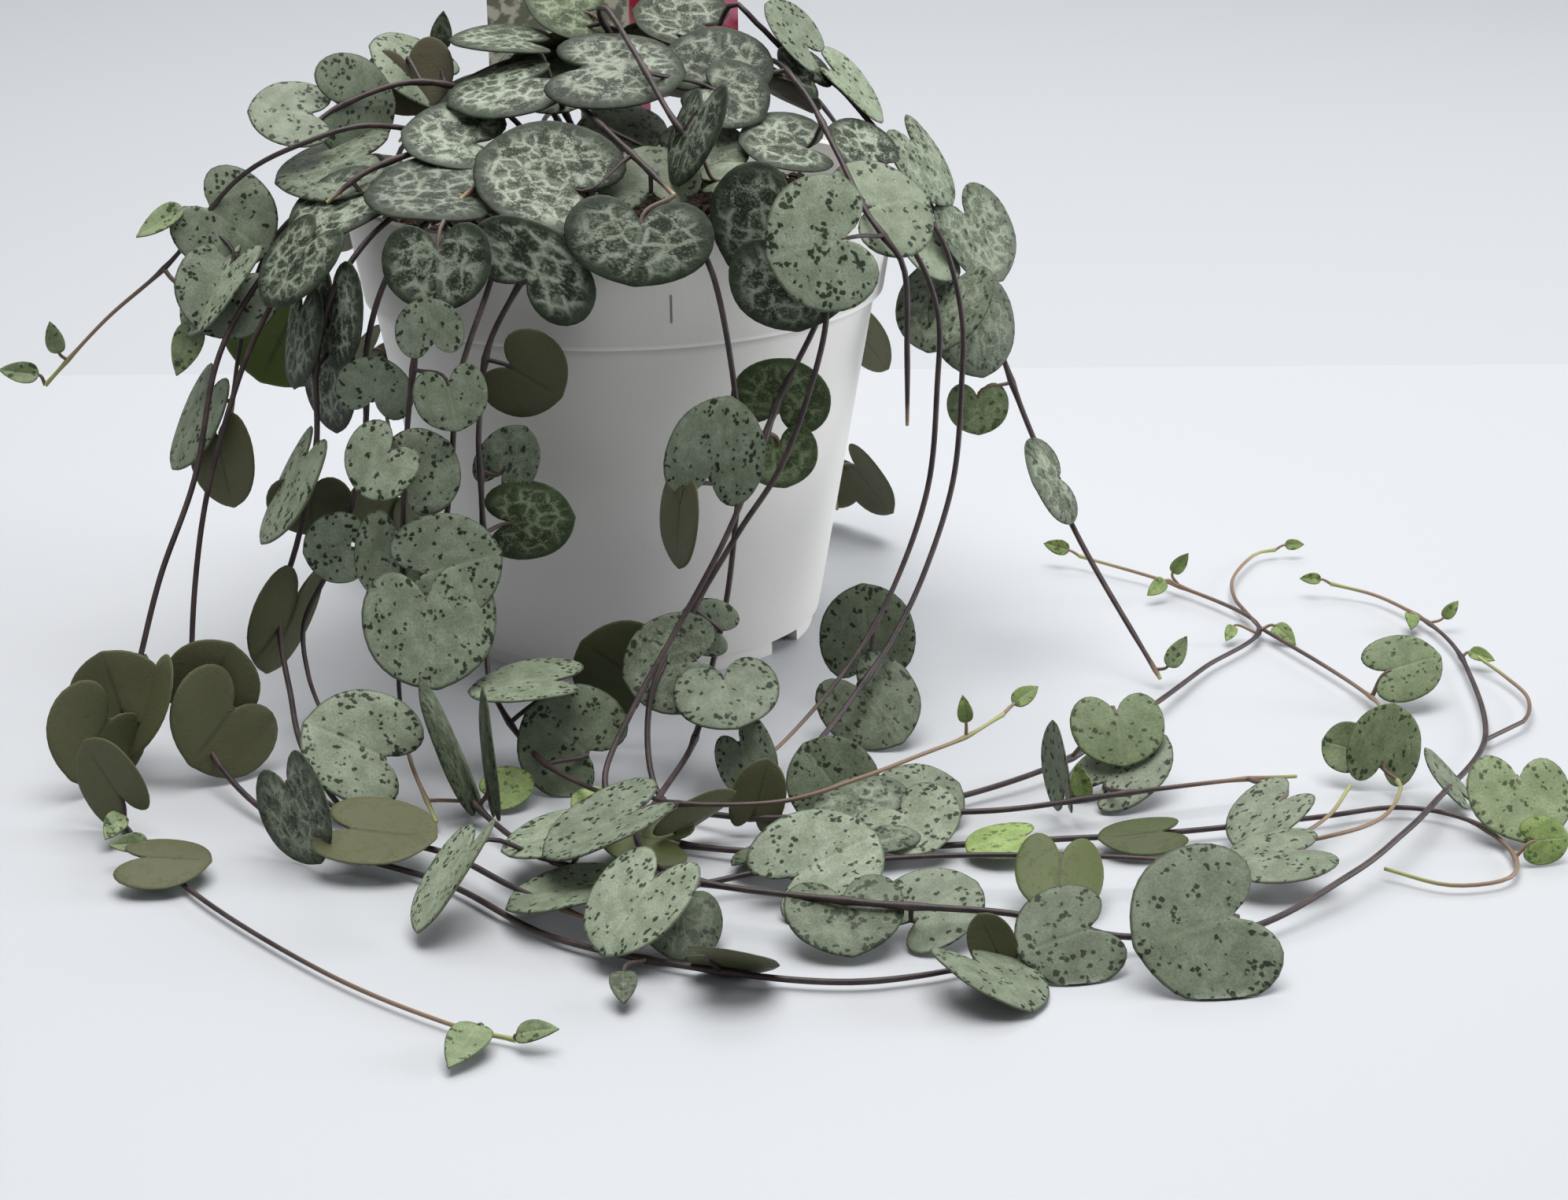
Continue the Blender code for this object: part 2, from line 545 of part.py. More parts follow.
def simplified(points, tolerance):
    """The fewest of the points that keep a run within the tolerance of its curve."""
    first, last = points[0], points[-1]
    line = last - first
    offsets = [off_line(p, first, line) for p in points]
    worst = max(range(len(points)), key=offsets.__getitem__)
    if offsets[worst] <= tolerance:
        return [first, last]
    return simplified(points[: worst + 1], tolerance)[:-1] + simplified(points[worst:], tolerance)


def off_line(point, first, line):
    share = max(0.0, min(1.0, (point - first).dot(line) / max(line.length_squared, 1e-9)))
    return (point - first - share * line).length


def along_run(points, step):
    """Points about a step apart on the straight lengths of a run."""
    places = []
    for start, end in zip(points, points[1:]):
        count = max(1, round((end - start).length / step))
        places += [start.lerp(end, i / count) for i in range(count)]
    return [*places, points[-1]]


def tubes(runs, collection):
    """Closed tubes as mesh objects in metres, one for each run of points and radius."""
    guides = []
    for points, radius in runs:
        curve = bpy.data.curves.new("guide", "CURVE")
        curve.dimensions = "3D"
        curve.bevel_depth = radius * MM
        curve.bevel_resolution = 0
        curve.use_fill_caps = True
        spline = curve.splines.new("POLY")
        spline.points.add(len(points) - 1)
        for point, place in zip(spline.points, points):
            point.co = (*(Vector(place) * MM), 1.0)
        guide = bpy.data.objects.new("guide", curve)
        collection.objects.link(guide)
        guides.append(guide)
    graph = bpy.context.evaluated_depsgraph_get()
    pieces = []
    for guide in guides:
        bm = bmesh.new()
        bm.from_mesh(bpy.data.meshes.new_from_object(guide.evaluated_get(graph)))
        bmesh.ops.remove_doubles(bm, verts=bm.verts, dist=1e-6)
        pieces.append(object_from_bmesh("tube", bm, collection))
    for guide in guides:
        bpy.data.objects.remove(guide, do_unlink=True)
    return pieces


def blade_frame(base, tip, face, outline):
    """Start, length, thickness and axes of a blade, lifted where it would dip into the surface."""
    start, end = Vector(base), Vector(tip)
    length = (end - start).length
    along = (end - start) / length
    normal = Vector(face)
    normal = (normal - normal.dot(along) * along).normalized()
    across = along.cross(normal)
    thickness = max(BLADE_THICKNESS, BLADE_SHARE * length)
    reach = [start + length * (x * across + y * along + CUP * x * x * normal) for x, y in full_rim(outline)]
    low = min(point.z for point in reach) - 0.5 * thickness
    start.z += max(0.0, SURFACE_CLEARANCE - low)
    return start, length, thickness, across, along, normal


def full_rim(outline):
    return [(0.0, 0.0), *outline, (0.0, 1.0), *[(-x, y) for x, y in reversed(outline)]]


def blade(base, tip, face, outline, collection):
    """One closed blade: its outline creased along the midrib, cupped a little and thickened."""
    start, length, thickness, across, along, normal = blade_frame(base, tip, face, outline)
    rim = full_rim(outline)
    bm = bmesh.new()
    bmesh.ops.create_circle(bm, cap_ends=True, segments=len(rim), radius=1.0)
    ring = sorted(bm.verts, key=lambda v: math.atan2(v.co.x, -v.co.y) % math.tau)
    for v, (x, y) in zip(ring, rim):
        v.co = (x, y, CUP * x * x)
    for v in ring[2:-1]:
        bmesh.ops.connect_verts(bm, verts=[ring[0], v])
    grown = bmesh.ops.extrude_face_region(bm, geom=list(bm.faces), use_keep_orig=True)
    half = 0.5 * thickness / length
    raised = {v for v in grown["geom"] if isinstance(v, bmesh.types.BMVert)}
    for v in bm.verts:
        v.co.z += half if v in raised else -half
    bmesh.ops.recalc_face_normals(bm, faces=bm.faces)
    frame = Matrix((across, along, normal)).transposed().to_4x4()
    place = Matrix.Translation(start * MM) @ frame @ Matrix.Scale(length * MM, 4)
    bmesh.ops.transform(bm, matrix=place, verts=bm.verts)
    return object_from_bmesh("blade", bm, collection)


def join_pieces(name, pieces, helper, material, collection):
    """Fuses the pieces into one solid, named for its node, with no hollow left closed inside it."""
    body = pieces[0]
    for piece in pieces[1:]:
        helper.objects.link(piece)
        collection.objects.unlink(piece)
    union = body.modifiers.new("join", "BOOLEAN")
    union.operation = "UNION"
    union.solver = "MANIFOLD"
    union.operand_type = "COLLECTION"
    union.collection = helper
    graph = bpy.context.evaluated_depsgraph_get()
    mesh = bpy.data.meshes.new_from_object(body.evaluated_get(graph))
    for piece in pieces:
        bpy.data.objects.remove(piece, do_unlink=True)
    bm = bmesh.new()
    bm.from_mesh(mesh)
    for shell in shells(bm):
        if signed_volume(shell) < 0.0:
            bmesh.ops.delete(bm, geom=list(shell), context="FACES")
    return object_from_bmesh(name, bm, collection, material)


def shells(bm):
    """The faces of each connected surface."""
    waiting = set(bm.faces)
    found = []
    while waiting:
        first = waiting.pop()
        shell = {first}
        border = [first]
        while border:
            face = border.pop()
            for edge in face.edges:
                for other in edge.link_faces:
                    if other in waiting:
                        waiting.remove(other)
                        shell.add(other)
                        border.append(other)
        found.append(shell)
    return found


def signed_volume(shell):
    total = 0.0
    for face in shell:
        corners = [v.co for v in face.verts]
        for a, b in zip(corners[1:], corners[2:]):
            total += corners[0].dot(a.cross(b))
    return total


def petiole(stem_points, base, tip, face, outline, collection):
    """The three-sided stalk from the nearest point of the stem into the blade just past its notch."""
    start, length, thickness, _, along, _ = blade_frame(base, tip, face, outline)
    root = min(stem_points, key=lambda p: (p - start).length)
    end = start + PETIOLE_DEPTH * length * along
    reach = end - root
    bm = bmesh.new()
    bmesh.ops.create_cone(
        bm,
        cap_ends=True,
        segments=3,
        radius1=PETIOLE_RADIUS * MM,
        radius2=0.45 * thickness * MM,
        depth=reach.length * MM,
    )
    turn = reach.to_track_quat("Z", "Y").to_matrix().to_4x4()
    bmesh.ops.transform(bm, matrix=Matrix.Translation((root + end) * 0.5 * MM) @ turn, verts=bm.verts)
    return object_from_bmesh("petiole", bm, collection)


def plant_node(name, routes, blades, helper, material, collection):
    stems = [simplified(smooth_route(route, FINE_STEP), STEM_TOLERANCE) for route in routes]
    places = [point for stem in stems for point in along_run(stem, FINE_STEP)]
    pieces = tubes([(stem, STEM_RADIUS) for stem in stems], collection)
    pieces += [petiole(places, *one, collection) for one in blades]
    pieces += [blade(*one, collection) for one in blades]
    return join_pieces(name, pieces, helper, material, collection)


def around(angle, radius, height):
    """A point at an angle in degrees from +X, a distance from the pot's axis and a height."""
    turn = math.radians(angle)
    return (radius * math.cos(turn), radius * math.sin(turn), height)


def back_strand(angle, end, size, rng):
    """A shorter strand over the back of the rim, with opposite pairs of blades."""
    route = [around(angle, radius, height) for radius, height in BACK_RISE]
    top = BACK_RISE[-1][1]
    for i in range(1, BACK_HANG_LENGTHS + 1):
        height = top + (end - top) * i / BACK_HANG_LENGTHS
        radius = BACK_HANG_RADIUS + rng.uniform(-1.0, 2.5)
        route.append(around(angle + rng.uniform(-2.5, 2.5), radius, height))
    blades = []
    height = BACK_PAIR_TOP
    while height > max(end, BACK_PAIR_LOW):
        for side in (-1, 1):
            length = size * rng.uniform(0.8, 1.1)
            level = height + rng.uniform(-2.0, 2.0)
            base = around(angle + side * 4.0, BACK_BLADE_RADIUS, level)
            spread = side * (4.0 + 0.6 * length)
            tip = around(angle + spread, BACK_BLADE_RADIUS + rng.uniform(2.0, 4.0), level - 0.75 * length)
            face = around(angle + side * rng.uniform(0.0, 30.0), 1.0, rng.uniform(0.0, 0.5))
            blades.append(heart(base, tip, face))
        height -= BACK_PAIR_SPACING
    return [route], blades


def back_crown(rng):
    """Blades laid like tiles over the back half of the crown."""
    blades = []
    first, last = BACK_ARC
    for radius, height, count in BACK_TIERS:
        for i in range(count):
            angle = first + (last - first) * (i + 0.5) / count + rng.uniform(-4.0, 4.0)
            base = around(angle, radius, height + rng.uniform(-1.0, 1.0))
            turned_angle = angle + rng.uniform(-6.0, 6.0)
            tip = around(turned_angle, radius + BACK_CROWN_REACH, height - BACK_CROWN_FALL)
            blades.append(heart(base, tip, around(angle, 0.6, 1.0)))
    return blades


def turned(name, profile, segments, collection, material):
    """A closed profile, given from the top of the outer side down, turned about the Z axis."""
    mesh = bpy.data.meshes.new(name)
    points = [(r * MM, 0.0, z * MM) for r, z in profile]
    edges = [(i, i + 1) for i in range(len(points) - 1)]
    mesh.from_pydata(points, edges, [])
    mesh.materials.append(material)
    obj = bpy.data.objects.new(name, mesh)
    collection.objects.link(obj)
    screw = obj.modifiers.new("turn", "SCREW")
    screw.steps = segments
    screw.render_steps = segments
    screw.use_merge_vertices = True
    screw.merge_threshold = 0.00001
    return obj


def cut_with(obj, cutters):
    cut = obj.modifiers.new("cut", "BOOLEAN")
    cut.operation = "DIFFERENCE"
    cut.operand_type = "COLLECTION"
    cut.collection = cutters
    cut.solver = "EXACT"


def cylinder_cutter(name, radius, place, depth, collection, segments):
    bm = bmesh.new()
    bmesh.ops.create_cone(
        bm, cap_ends=True, segments=segments, radius1=radius * MM, radius2=radius * MM, depth=depth * MM
    )
    bmesh.ops.translate(bm, verts=bm.verts, vec=Vector(place) * MM)
    return cutter_object(name, bm, collection)


def box_cutter(name, size, matrix, collection):
    bm = bmesh.new()
    bmesh.ops.create_cube(bm, size=1.0)
    bmesh.ops.transform(bm, matrix=matrix @ Matrix.Diagonal((*[s * MM for s in size], 1.0)), verts=bm.verts)
    return cutter_object(name, bm, collection)


def cutter_object(name, bm, collection):
    obj = object_from_bmesh(name, bm, collection)
    obj.hide_render = True
    obj.display_type = "WIRE"
    return obj


def inner_radius(z):
    """Radius of the pot's inner wall at a height."""
    share = (z - FOOT_LINE) / (COLLAR_BOTTOM - FOOT_LINE)
    body = FOOT_LINE_RADIUS + share * (COLLAR_BOTTOM_RADIUS - COLLAR_STEP - FOOT_LINE_RADIUS)
    if z <= COLLAR_BOTTOM:
        return body - WALL
    rise = (z - COLLAR_BOTTOM) / (POT_HEIGHT - COLLAR_BOTTOM)
    return COLLAR_BOTTOM_RADIUS + rise * (RIM_RADIUS - COLLAR_BOTTOM_RADIUS) - WALL


def make_pot(collection, cutters, material):
    foot_outer = FOOT_LINE_RADIUS - FOOT_INSET
    floor = RECESS + BASE_THICKNESS
    profile = [
        (RIM_RADIUS - RIM_ROUND, POT_HEIGHT),
        (RIM_RADIUS, POT_HEIGHT - RIM_ROUND),
        (COLLAR_BOTTOM_RADIUS, COLLAR_BOTTOM),
        (COLLAR_BOTTOM_RADIUS - COLLAR_STEP, COLLAR_BOTTOM),
        (FOOT_LINE_RADIUS, FOOT_LINE),
        (foot_outer, FOOT_LINE),
        (foot_outer, 0.0),
        (foot_outer - FOOT_WIDTH, 0.0),
        (foot_outer - FOOT_WIDTH, RECESS),
        (BOSS_RADIUS, RECESS),
        (BOSS_RADIUS, 0.0),
        (0.0, 0.0),
    ]
    inside = [
        (0.0, floor),
        (inner_radius(floor), floor),
        (inner_radius(COLLAR_BOTTOM - WALL), COLLAR_BOTTOM - WALL),
        (inner_radius(COLLAR_BOTTOM + WALL), COLLAR_BOTTOM + WALL),
        (RIM_RADIUS - WALL, POT_HEIGHT - RIM_ROUND),
        (RIM_RADIUS - RIM_ROUND, POT_HEIGHT),
    ]
    pot = turned("pot", profile + inside, POT_SEGMENTS, collection, material)
    for i in range(DRAIN_COUNT):
        place = around(360.0 * (i + 0.5) / DRAIN_COUNT, DRAIN_RING, RECESS)
        cylinder_cutter("drain", DRAIN_RADIUS, place, DRAIN_DEPTH, cutters, DRAIN_SEGMENTS)
    for angle in SLOT_ANGLES:
        turn = Matrix.Rotation(math.radians(angle), 4, "Z")
        out = Matrix.Translation(((foot_outer - 0.5 * FOOT_WIDTH) * MM, 0.0, 0.0))
        size = (2.5 * FOOT_WIDTH, SLOT_WIDTH, 2 * SLOT_HEIGHT)
        box_cutter("slot", size, turn @ out, cutters)
    cut_with(pot, cutters)
    return pot


def make_soil(stem_places, collection, cutters, material):
    low = RECESS + BASE_THICKNESS + GAP
    profile = [
        (0.0, SOIL_TOP + SOIL_MOUND),
        (0.5 * inner_radius(SOIL_TOP), SOIL_TOP + 0.7 * SOIL_MOUND),
        (inner_radius(SOIL_TOP) - GAP, SOIL_TOP),
        (inner_radius(COLLAR_BOTTOM + WALL) - GAP, COLLAR_BOTTOM + WALL),
        (inner_radius(COLLAR_BOTTOM - WALL) - GAP, COLLAR_BOTTOM - WALL),
        (inner_radius(low) - GAP, low),
        (0.0, low),
    ]
    soil = turned("soil", profile, POT_SEGMENTS, collection, material)
    depth = 2 * (SOIL_TOP - STEM_BOTTOM + GAP)
    for x, y in stem_places:
        cylinder_cutter("stem_hole", HOLE_RADIUS, (x, y, SOIL_TOP), depth, cutters, HOLE_SEGMENTS)
    slot_size = (LABEL_STAKE_WIDTH + 2 * GAP, LABEL_THICKNESS + 2 * GAP, LABEL_SLOT_DEPTH)
    lean = Matrix.Rotation(LABEL_LEAN, 4, "X")
    box_cutter("label_slot", slot_size, Matrix.Translation(Vector(LABEL_PLACE) * MM) @ lean, cutters)
    cut_with(soil, cutters)
    return soil


def make_label(collection, material):
    """A card with rounded upper corners on a tapering stake, one flat outline."""
    half = 0.5 * LABEL_WIDTH
    stake = 0.5 * LABEL_STAKE_WIDTH
    point = LABEL_STAKE_TAPER * stake
    low = -LABEL_DEPTH
    card = low + LABEL_STAKE_HEIGHT
    top = card + LABEL_HEIGHT
    right = [(point, low), (stake, low + LABEL_SHOULDER), (stake, card - LABEL_SHOULDER), (half, card)]
    for turn in (0.0, *LABEL_CORNER_TURNS):
        x = half - LABEL_CORNER * (1.0 - math.cos(turn))
        right.append((x, top - LABEL_CORNER * (1.0 - math.sin(turn))))
    outline = right + [(-x, z) for x, z in reversed(right)]
    curve = bpy.data.curves.new("plant_label", "CURVE")
    curve.dimensions = "2D"
    curve.fill_mode = "BOTH"
    curve.extrude = 0.5 * LABEL_THICKNESS * MM
    spline = curve.splines.new("POLY")
    spline.use_cyclic_u = True
    spline.points.add(len(outline) - 1)
    for corner, (x, z) in zip(spline.points, outline):
        corner.co = (x * MM, z * MM, 0.0, 1.0)
    curve.materials.append(material)
    label = bpy.data.objects.new("plant_label", curve)
    label.location = Vector(LABEL_PLACE) * MM
    label.rotation_euler = (math.pi / 2 + LABEL_LEAN, 0.0, 0.0)
    collection.objects.link(label)
    return label


def main():
    clear_scene()
    plant = new_collection("potted_string_of_hearts")
    pot_cutters = new_collection("pot_cutters")
    soil_cutters = new_collection("soil_cutters")
    helper = new_collection("joined")
    for hidden in (pot_cutters, soil_cutters, helper):
        hidden.hide_render = True
    white = new_material("white_plastic", (0.80, 0.80, 0.80), 0.45)
    earth = new_material("potting_mix", (0.035, 0.025, 0.018), 0.95)
    card = new_material("label_card", (0.75, 0.42, 0.50), 0.4)
    marbled = new_material("marbled_leaf", (0.10, 0.16, 0.12), 0.5)
    speckled = new_material("speckled_leaf", (0.30, 0.38, 0.29), 0.5)

    rng = random.Random(7)
    nodes = {"crown": (list(CROWN_STEMS.values()), CROWN_BLADES + back_crown(rng))}
    nodes.update(STRANDS)
    for i, strand in enumerate(BACK_STRANDS, 1):
        nodes[f"back_strand_{i}"] = back_strand(*strand, rng)

    starts = {route[0] for routes, _ in nodes.values() for route in routes}
    stem_places = sorted((x, y) for x, y, z in starts if z == STEM_BOTTOM)
    for name, (routes, blades) in nodes.items():
        leaf = marbled if name == "crown" else speckled
        plant_node(name, routes, blades, helper, leaf, plant)
    make_pot(plant, pot_cutters, white)
    make_soil(stem_places, plant, soil_cutters, earth)
    make_label(plant, card)


main()
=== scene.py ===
"""A string of hearts in a white nursery pot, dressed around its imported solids. Blender 4.5.

Values are in millimetres, in the frame of the solids: the origin is under the middle of the pot,
+X is to the right as the plant is seen, -Y is its front and +Z is up. Meshes are in metres.
"""

import json
import math
import random

import bmesh
import bpy
from mathutils import Matrix, Vector, noise

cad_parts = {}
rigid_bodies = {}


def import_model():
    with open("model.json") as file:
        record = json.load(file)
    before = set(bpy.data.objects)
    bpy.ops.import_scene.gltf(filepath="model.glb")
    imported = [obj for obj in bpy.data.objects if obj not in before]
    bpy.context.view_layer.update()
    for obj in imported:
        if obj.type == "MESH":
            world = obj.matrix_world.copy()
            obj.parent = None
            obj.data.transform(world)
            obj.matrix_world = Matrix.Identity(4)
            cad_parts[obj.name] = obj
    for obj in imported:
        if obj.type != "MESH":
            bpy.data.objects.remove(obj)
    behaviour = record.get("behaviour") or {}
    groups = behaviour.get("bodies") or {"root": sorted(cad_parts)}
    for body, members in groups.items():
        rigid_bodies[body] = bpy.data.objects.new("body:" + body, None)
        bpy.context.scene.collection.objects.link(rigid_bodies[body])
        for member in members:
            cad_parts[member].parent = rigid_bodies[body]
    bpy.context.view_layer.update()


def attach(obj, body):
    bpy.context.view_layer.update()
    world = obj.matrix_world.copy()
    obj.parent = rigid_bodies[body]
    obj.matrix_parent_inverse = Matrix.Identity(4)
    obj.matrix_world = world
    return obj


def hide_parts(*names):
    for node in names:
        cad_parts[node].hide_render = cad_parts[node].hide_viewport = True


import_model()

# Pot: a 10.5 cm nursery pot, injection moulded in thin white polypropylene. A deep collar stands
# out over the wall, the foot is set in and slotted, and the base has holes round a flat boss.
MM = 0.001
TO_MM = 1000.0
POT_HEIGHT = 87.5
RIM_RADIUS = 52.5
COLLAR_BOTTOM = 67.0
COLLAR_BOTTOM_RADIUS = 49.2
COLLAR_STEP = 1.5
WALL = 1.3
RIM_ROUND = 0.5
FOOT_LINE = 3.2
FOOT_LINE_RADIUS = 36.2
FOOT_INSET = 1.3
FOOT_WIDTH = 2.2
BASE_THICKNESS = 1.8
RECESS = 3.0
BOSS_RADIUS = 9.0
POT_STEPS = 144
EDGE_ROUND = 0.3
SLOT_ANGLES = (-35.0, 85.0, 205.0)
SLOT_WIDTH = 9.0
SLOT_HEIGHT = 2.4
SLOT_DEPTH = 5.5
DRAIN_RING = 22.0
DRAIN_RADIUS = 3.2
DRAIN_COUNT = 4
DRAIN_SIDES = 24
DRAIN_DEPTH = 10.0
MERGE_DISTANCE = 0.00001
POT_WHITE = (0.80, 0.785, 0.755, 1.0)
# The next two colours are a painted highlight along the collar's bottom edge and a painted shadow just
# under it.
POT_EDGE_HIGHLIGHT = (0.93, 0.93, 0.91, 1.0)
POT_UNDER_COLLAR_SHADOW = (0.60, 0.585, 0.56, 1.0)
POT_UPPER_BLOTCH = (0.56, 0.52, 0.46, 1.0)
POT_MARK = (0.12, 0.11, 0.10, 1.0)
MARK_PLACE = (7.9, 74.5)
MARK_GONE_TO_FULL = ((0.34, 0.14), (2.9, 2.4))
MARK_DARKNESS = 0.85
CLOUD_SCALE = 34.0
SCUFF_SCALE = (320.0, 26.0)
GRAIN_SCALE = 1500.0
UPPER_BLOTCHES_FROM = 60.0
COLLAR_SHADOW_DEPTH = 2.2
EDGE_LIGHT = (0.4, 0.9)
LINE_BLUR = 0.1
SHARP_ANGLE = math.radians(35.0)


class Value:
    """A node's output that Python's operators join with Math nodes."""

    def __init__(self, nodes, socket):
        self.nodes = nodes
        self.socket = socket

    def math(self, operation, *others, clamp=False):
        settings = {"operation": operation, "use_clamp": clamp}
        return self.nodes.add("ShaderNodeMath", settings, dict(enumerate((self, *others))))

    def __add__(self, other):
        return self.math("ADD", other)

    __radd__ = __add__

    def __sub__(self, other):
        return self.math("SUBTRACT", other)

    def __rsub__(self, other):
        return self.math("MULTIPLY_ADD", -1.0, other)

    def __mul__(self, other):
        return self.math("MULTIPLY", other)

    __rmul__ = __mul__

    def __truediv__(self, other):
        return self.math("DIVIDE", other)

    def above(self, other):
        return self.math("MAXIMUM", other)

    def size(self):
        return self.math("ABSOLUTE")

    def step(self, start, end):
        """0 at start, 1 at end and smooth between them."""
        sockets = {"Value": self, "From Min": start, "From Max": end}
        return self.nodes.add("ShaderNodeMapRange", {"interpolation_type": "SMOOTHSTEP"}, sockets)


class Nodes:
    """A node tree, to which one method adds each node with its settings and sockets."""

    def __init__(self, tree):
        self.tree = tree

    def add(self, kind, settings=None, sockets=None, output=0):
        node = self.tree.nodes.new(kind)
        for name, value in (settings or {}).items():
            setattr(node, name, value)
        for name, value in (sockets or {}).items():
            if isinstance(value, Value):
                self.tree.links.new(value.socket, node.inputs[name])
            else:
                node.inputs[name].default_value = value
        return Value(self, node.outputs[output])

    def mix(self, share, start, end):
        """A colour between two, by a share from 0 to 1."""
        return self.add("ShaderNodeMix", {"data_type": "RGBA"}, {0: share, 6: start, 7: end}, 2)

    def tint(self, share, color, factor):
        """The colour multiplied by a factor's colour, by a share."""
        settings = {"data_type": "RGBA", "blend_type": "MULTIPLY"}
        return self.add("ShaderNodeMix", settings, {0: share, 6: color, 7: factor}, 2)

    def vector(self, x, y, z):
        return self.add("ShaderNodeCombineXYZ", None, {0: x, 1: y, 2: z})

    def parts(self, vector):
        split = self.add("ShaderNodeSeparateXYZ", None, {0: vector})
        return [Value(self, socket) for socket in split.socket.node.outputs]

    def noise(self, vector, scale, detail=2.0, rough=0.5, output=0):
        sockets = {"Vector": vector, "Scale": scale, "Detail": detail, "Roughness": rough}
        return self.add("ShaderNodeTexNoise", None, sockets, output)

    def place(self):
        """Object coordinates."""
        return self.add("ShaderNodeTexCoord", None, None, 3)

    def attribute(self, name, output):
        """What a mesh holds under a name: output 1 is a vector and 2 a number."""
        return self.add("ShaderNodeAttribute", {"attribute_name": name}, None, output)

    def bump(self, height, distance, strength):
        sockets = {"Height": height, "Distance": distance, "Strength": strength}
        return self.add("ShaderNodeBump", None, sockets)


def new_material(name):
    """A material, its nodes and its Principled shader."""
    material = bpy.data.materials.new(name)
    material.use_nodes = True
    return material, Nodes(material.node_tree), material.node_tree.nodes["Principled BSDF"]


def feed(nodes, shader, **sockets):
    """Sets or links the shader's sockets, whose names are given with _ for spaces."""
    for name, value in sockets.items():
        socket = shader.inputs[name.replace("_", " ")]
        if isinstance(value, Value):
            nodes.tree.links.new(value.socket, socket)
        else:
            socket.default_value = value


def placed(name, data):
    """A new object in the scene, at the origin."""
    obj = bpy.data.objects.new(name, data)
    bpy.context.scene.collection.objects.link(obj)
    return obj


def shown(name, mesh, material):
    """A finished piece of one material, with smooth faces between its sharp edges."""
    mesh.name = name
    mesh.materials.clear()
    mesh.materials.append(material)
    mesh.shade_smooth()
    mesh.set_sharp_from_angle(angle=SHARP_ANGLE)
    return placed(name, mesh)


def finished(maker):
    """The plain mesh of an object with its modifiers done. The object is removed."""
    graph = bpy.context.evaluated_depsgraph_get()
    mesh = bpy.data.meshes.new_from_object(maker.evaluated_get(graph))
    bpy.data.objects.remove(maker, do_unlink=True)
    return mesh


def turned(profile):
    """An object whose profile, from the top of the outer side down, is turned about Z."""
    mesh = bpy.data.meshes.new("profile")
    rows = [(radius * MM, 0.0, height * MM) for radius, height in profile]
    mesh.from_pydata(rows, [(i, i + 1) for i in range(len(rows) - 1)], [])
    maker = placed("profile", mesh)
    screw = maker.modifiers.new("turn", "SCREW")
    screw.steps = POT_STEPS
    screw.render_steps = POT_STEPS
    screw.use_merge_vertices = True
    screw.merge_threshold = MERGE_DISTANCE
    return maker


def around(angle, radius, height):
    """A point at an angle in degrees from +X, a distance from the pot's axis and a height."""
    turn = math.radians(angle)
    return (radius * math.cos(turn), radius * math.sin(turn), height)


def inner_radius(height):
    """Radius of the pot's inner wall at a height."""
    share = (height - FOOT_LINE) / (COLLAR_BOTTOM - FOOT_LINE)
    if height <= COLLAR_BOTTOM:
        return FOOT_LINE_RADIUS + share * (COLLAR_BOTTOM_RADIUS - COLLAR_STEP - FOOT_LINE_RADIUS) - WALL
    rise = (height - COLLAR_BOTTOM) / (POT_HEIGHT - COLLAR_BOTTOM)
    return COLLAR_BOTTOM_RADIUS + rise * (RIM_RADIUS - COLLAR_BOTTOM_RADIUS) - WALL


def helper_collection(name):
    """A collection for shapes that only help to make a piece."""
    collection = bpy.data.collections.new(name)
    bpy.context.scene.collection.children.link(collection)
    return collection


def emptied(collection):
    """Removes helper shapes that nothing needs any more."""
    for shape in list(collection.objects):
        bpy.data.objects.remove(shape, do_unlink=True)


def add_cutter(shape, matrix):
    """Adds a shape, moved by the matrix, to what is cut out of the pot."""
    bmesh.ops.transform(shape, matrix=matrix, verts=shape.verts)
    mesh = bpy.data.meshes.new("cutter")
    shape.to_mesh(mesh)
    shape.free()
    cutters.objects.link(bpy.data.objects.new("cutter", mesh))


foot_outer = FOOT_LINE_RADIUS - FOOT_INSET
base_top = RECESS + BASE_THICKNESS
pot_maker = turned(
    [
        (RIM_RADIUS - RIM_ROUND, POT_HEIGHT),
        (RIM_RADIUS, POT_HEIGHT - RIM_ROUND),
        (COLLAR_BOTTOM_RADIUS, COLLAR_BOTTOM),
        (COLLAR_BOTTOM_RADIUS - COLLAR_STEP, COLLAR_BOTTOM),
        (FOOT_LINE_RADIUS, FOOT_LINE),
        (foot_outer, FOOT_LINE),
        (foot_outer, 0.0),
        (foot_outer - FOOT_WIDTH, 0.0),
        (foot_outer - FOOT_WIDTH, RECESS),
        (BOSS_RADIUS, RECESS),
        (BOSS_RADIUS, 0.0),
        (0.0, 0.0),
        (0.0, base_top),
        (inner_radius(base_top), base_top),
        (inner_radius(COLLAR_BOTTOM - WALL), COLLAR_BOTTOM - WALL),
        (inner_radius(COLLAR_BOTTOM + WALL), COLLAR_BOTTOM + WALL),
        (RIM_RADIUS - WALL, POT_HEIGHT - RIM_ROUND),
        (RIM_RADIUS - RIM_ROUND, POT_HEIGHT),
    ]
)
cutters = helper_collection("pot_cutters")
for i in range(DRAIN_COUNT):
    hole = bmesh.new()
    wide = DRAIN_RADIUS * MM
    bmesh.ops.create_cone(
        hole, cap_ends=True, segments=DRAIN_SIDES, radius1=wide, radius2=wide, depth=DRAIN_DEPTH * MM
    )
    middle = around(360.0 * (i + 0.5) / DRAIN_COUNT, DRAIN_RING, RECESS)
    add_cutter(hole, Matrix.Translation(Vector(middle) * MM))
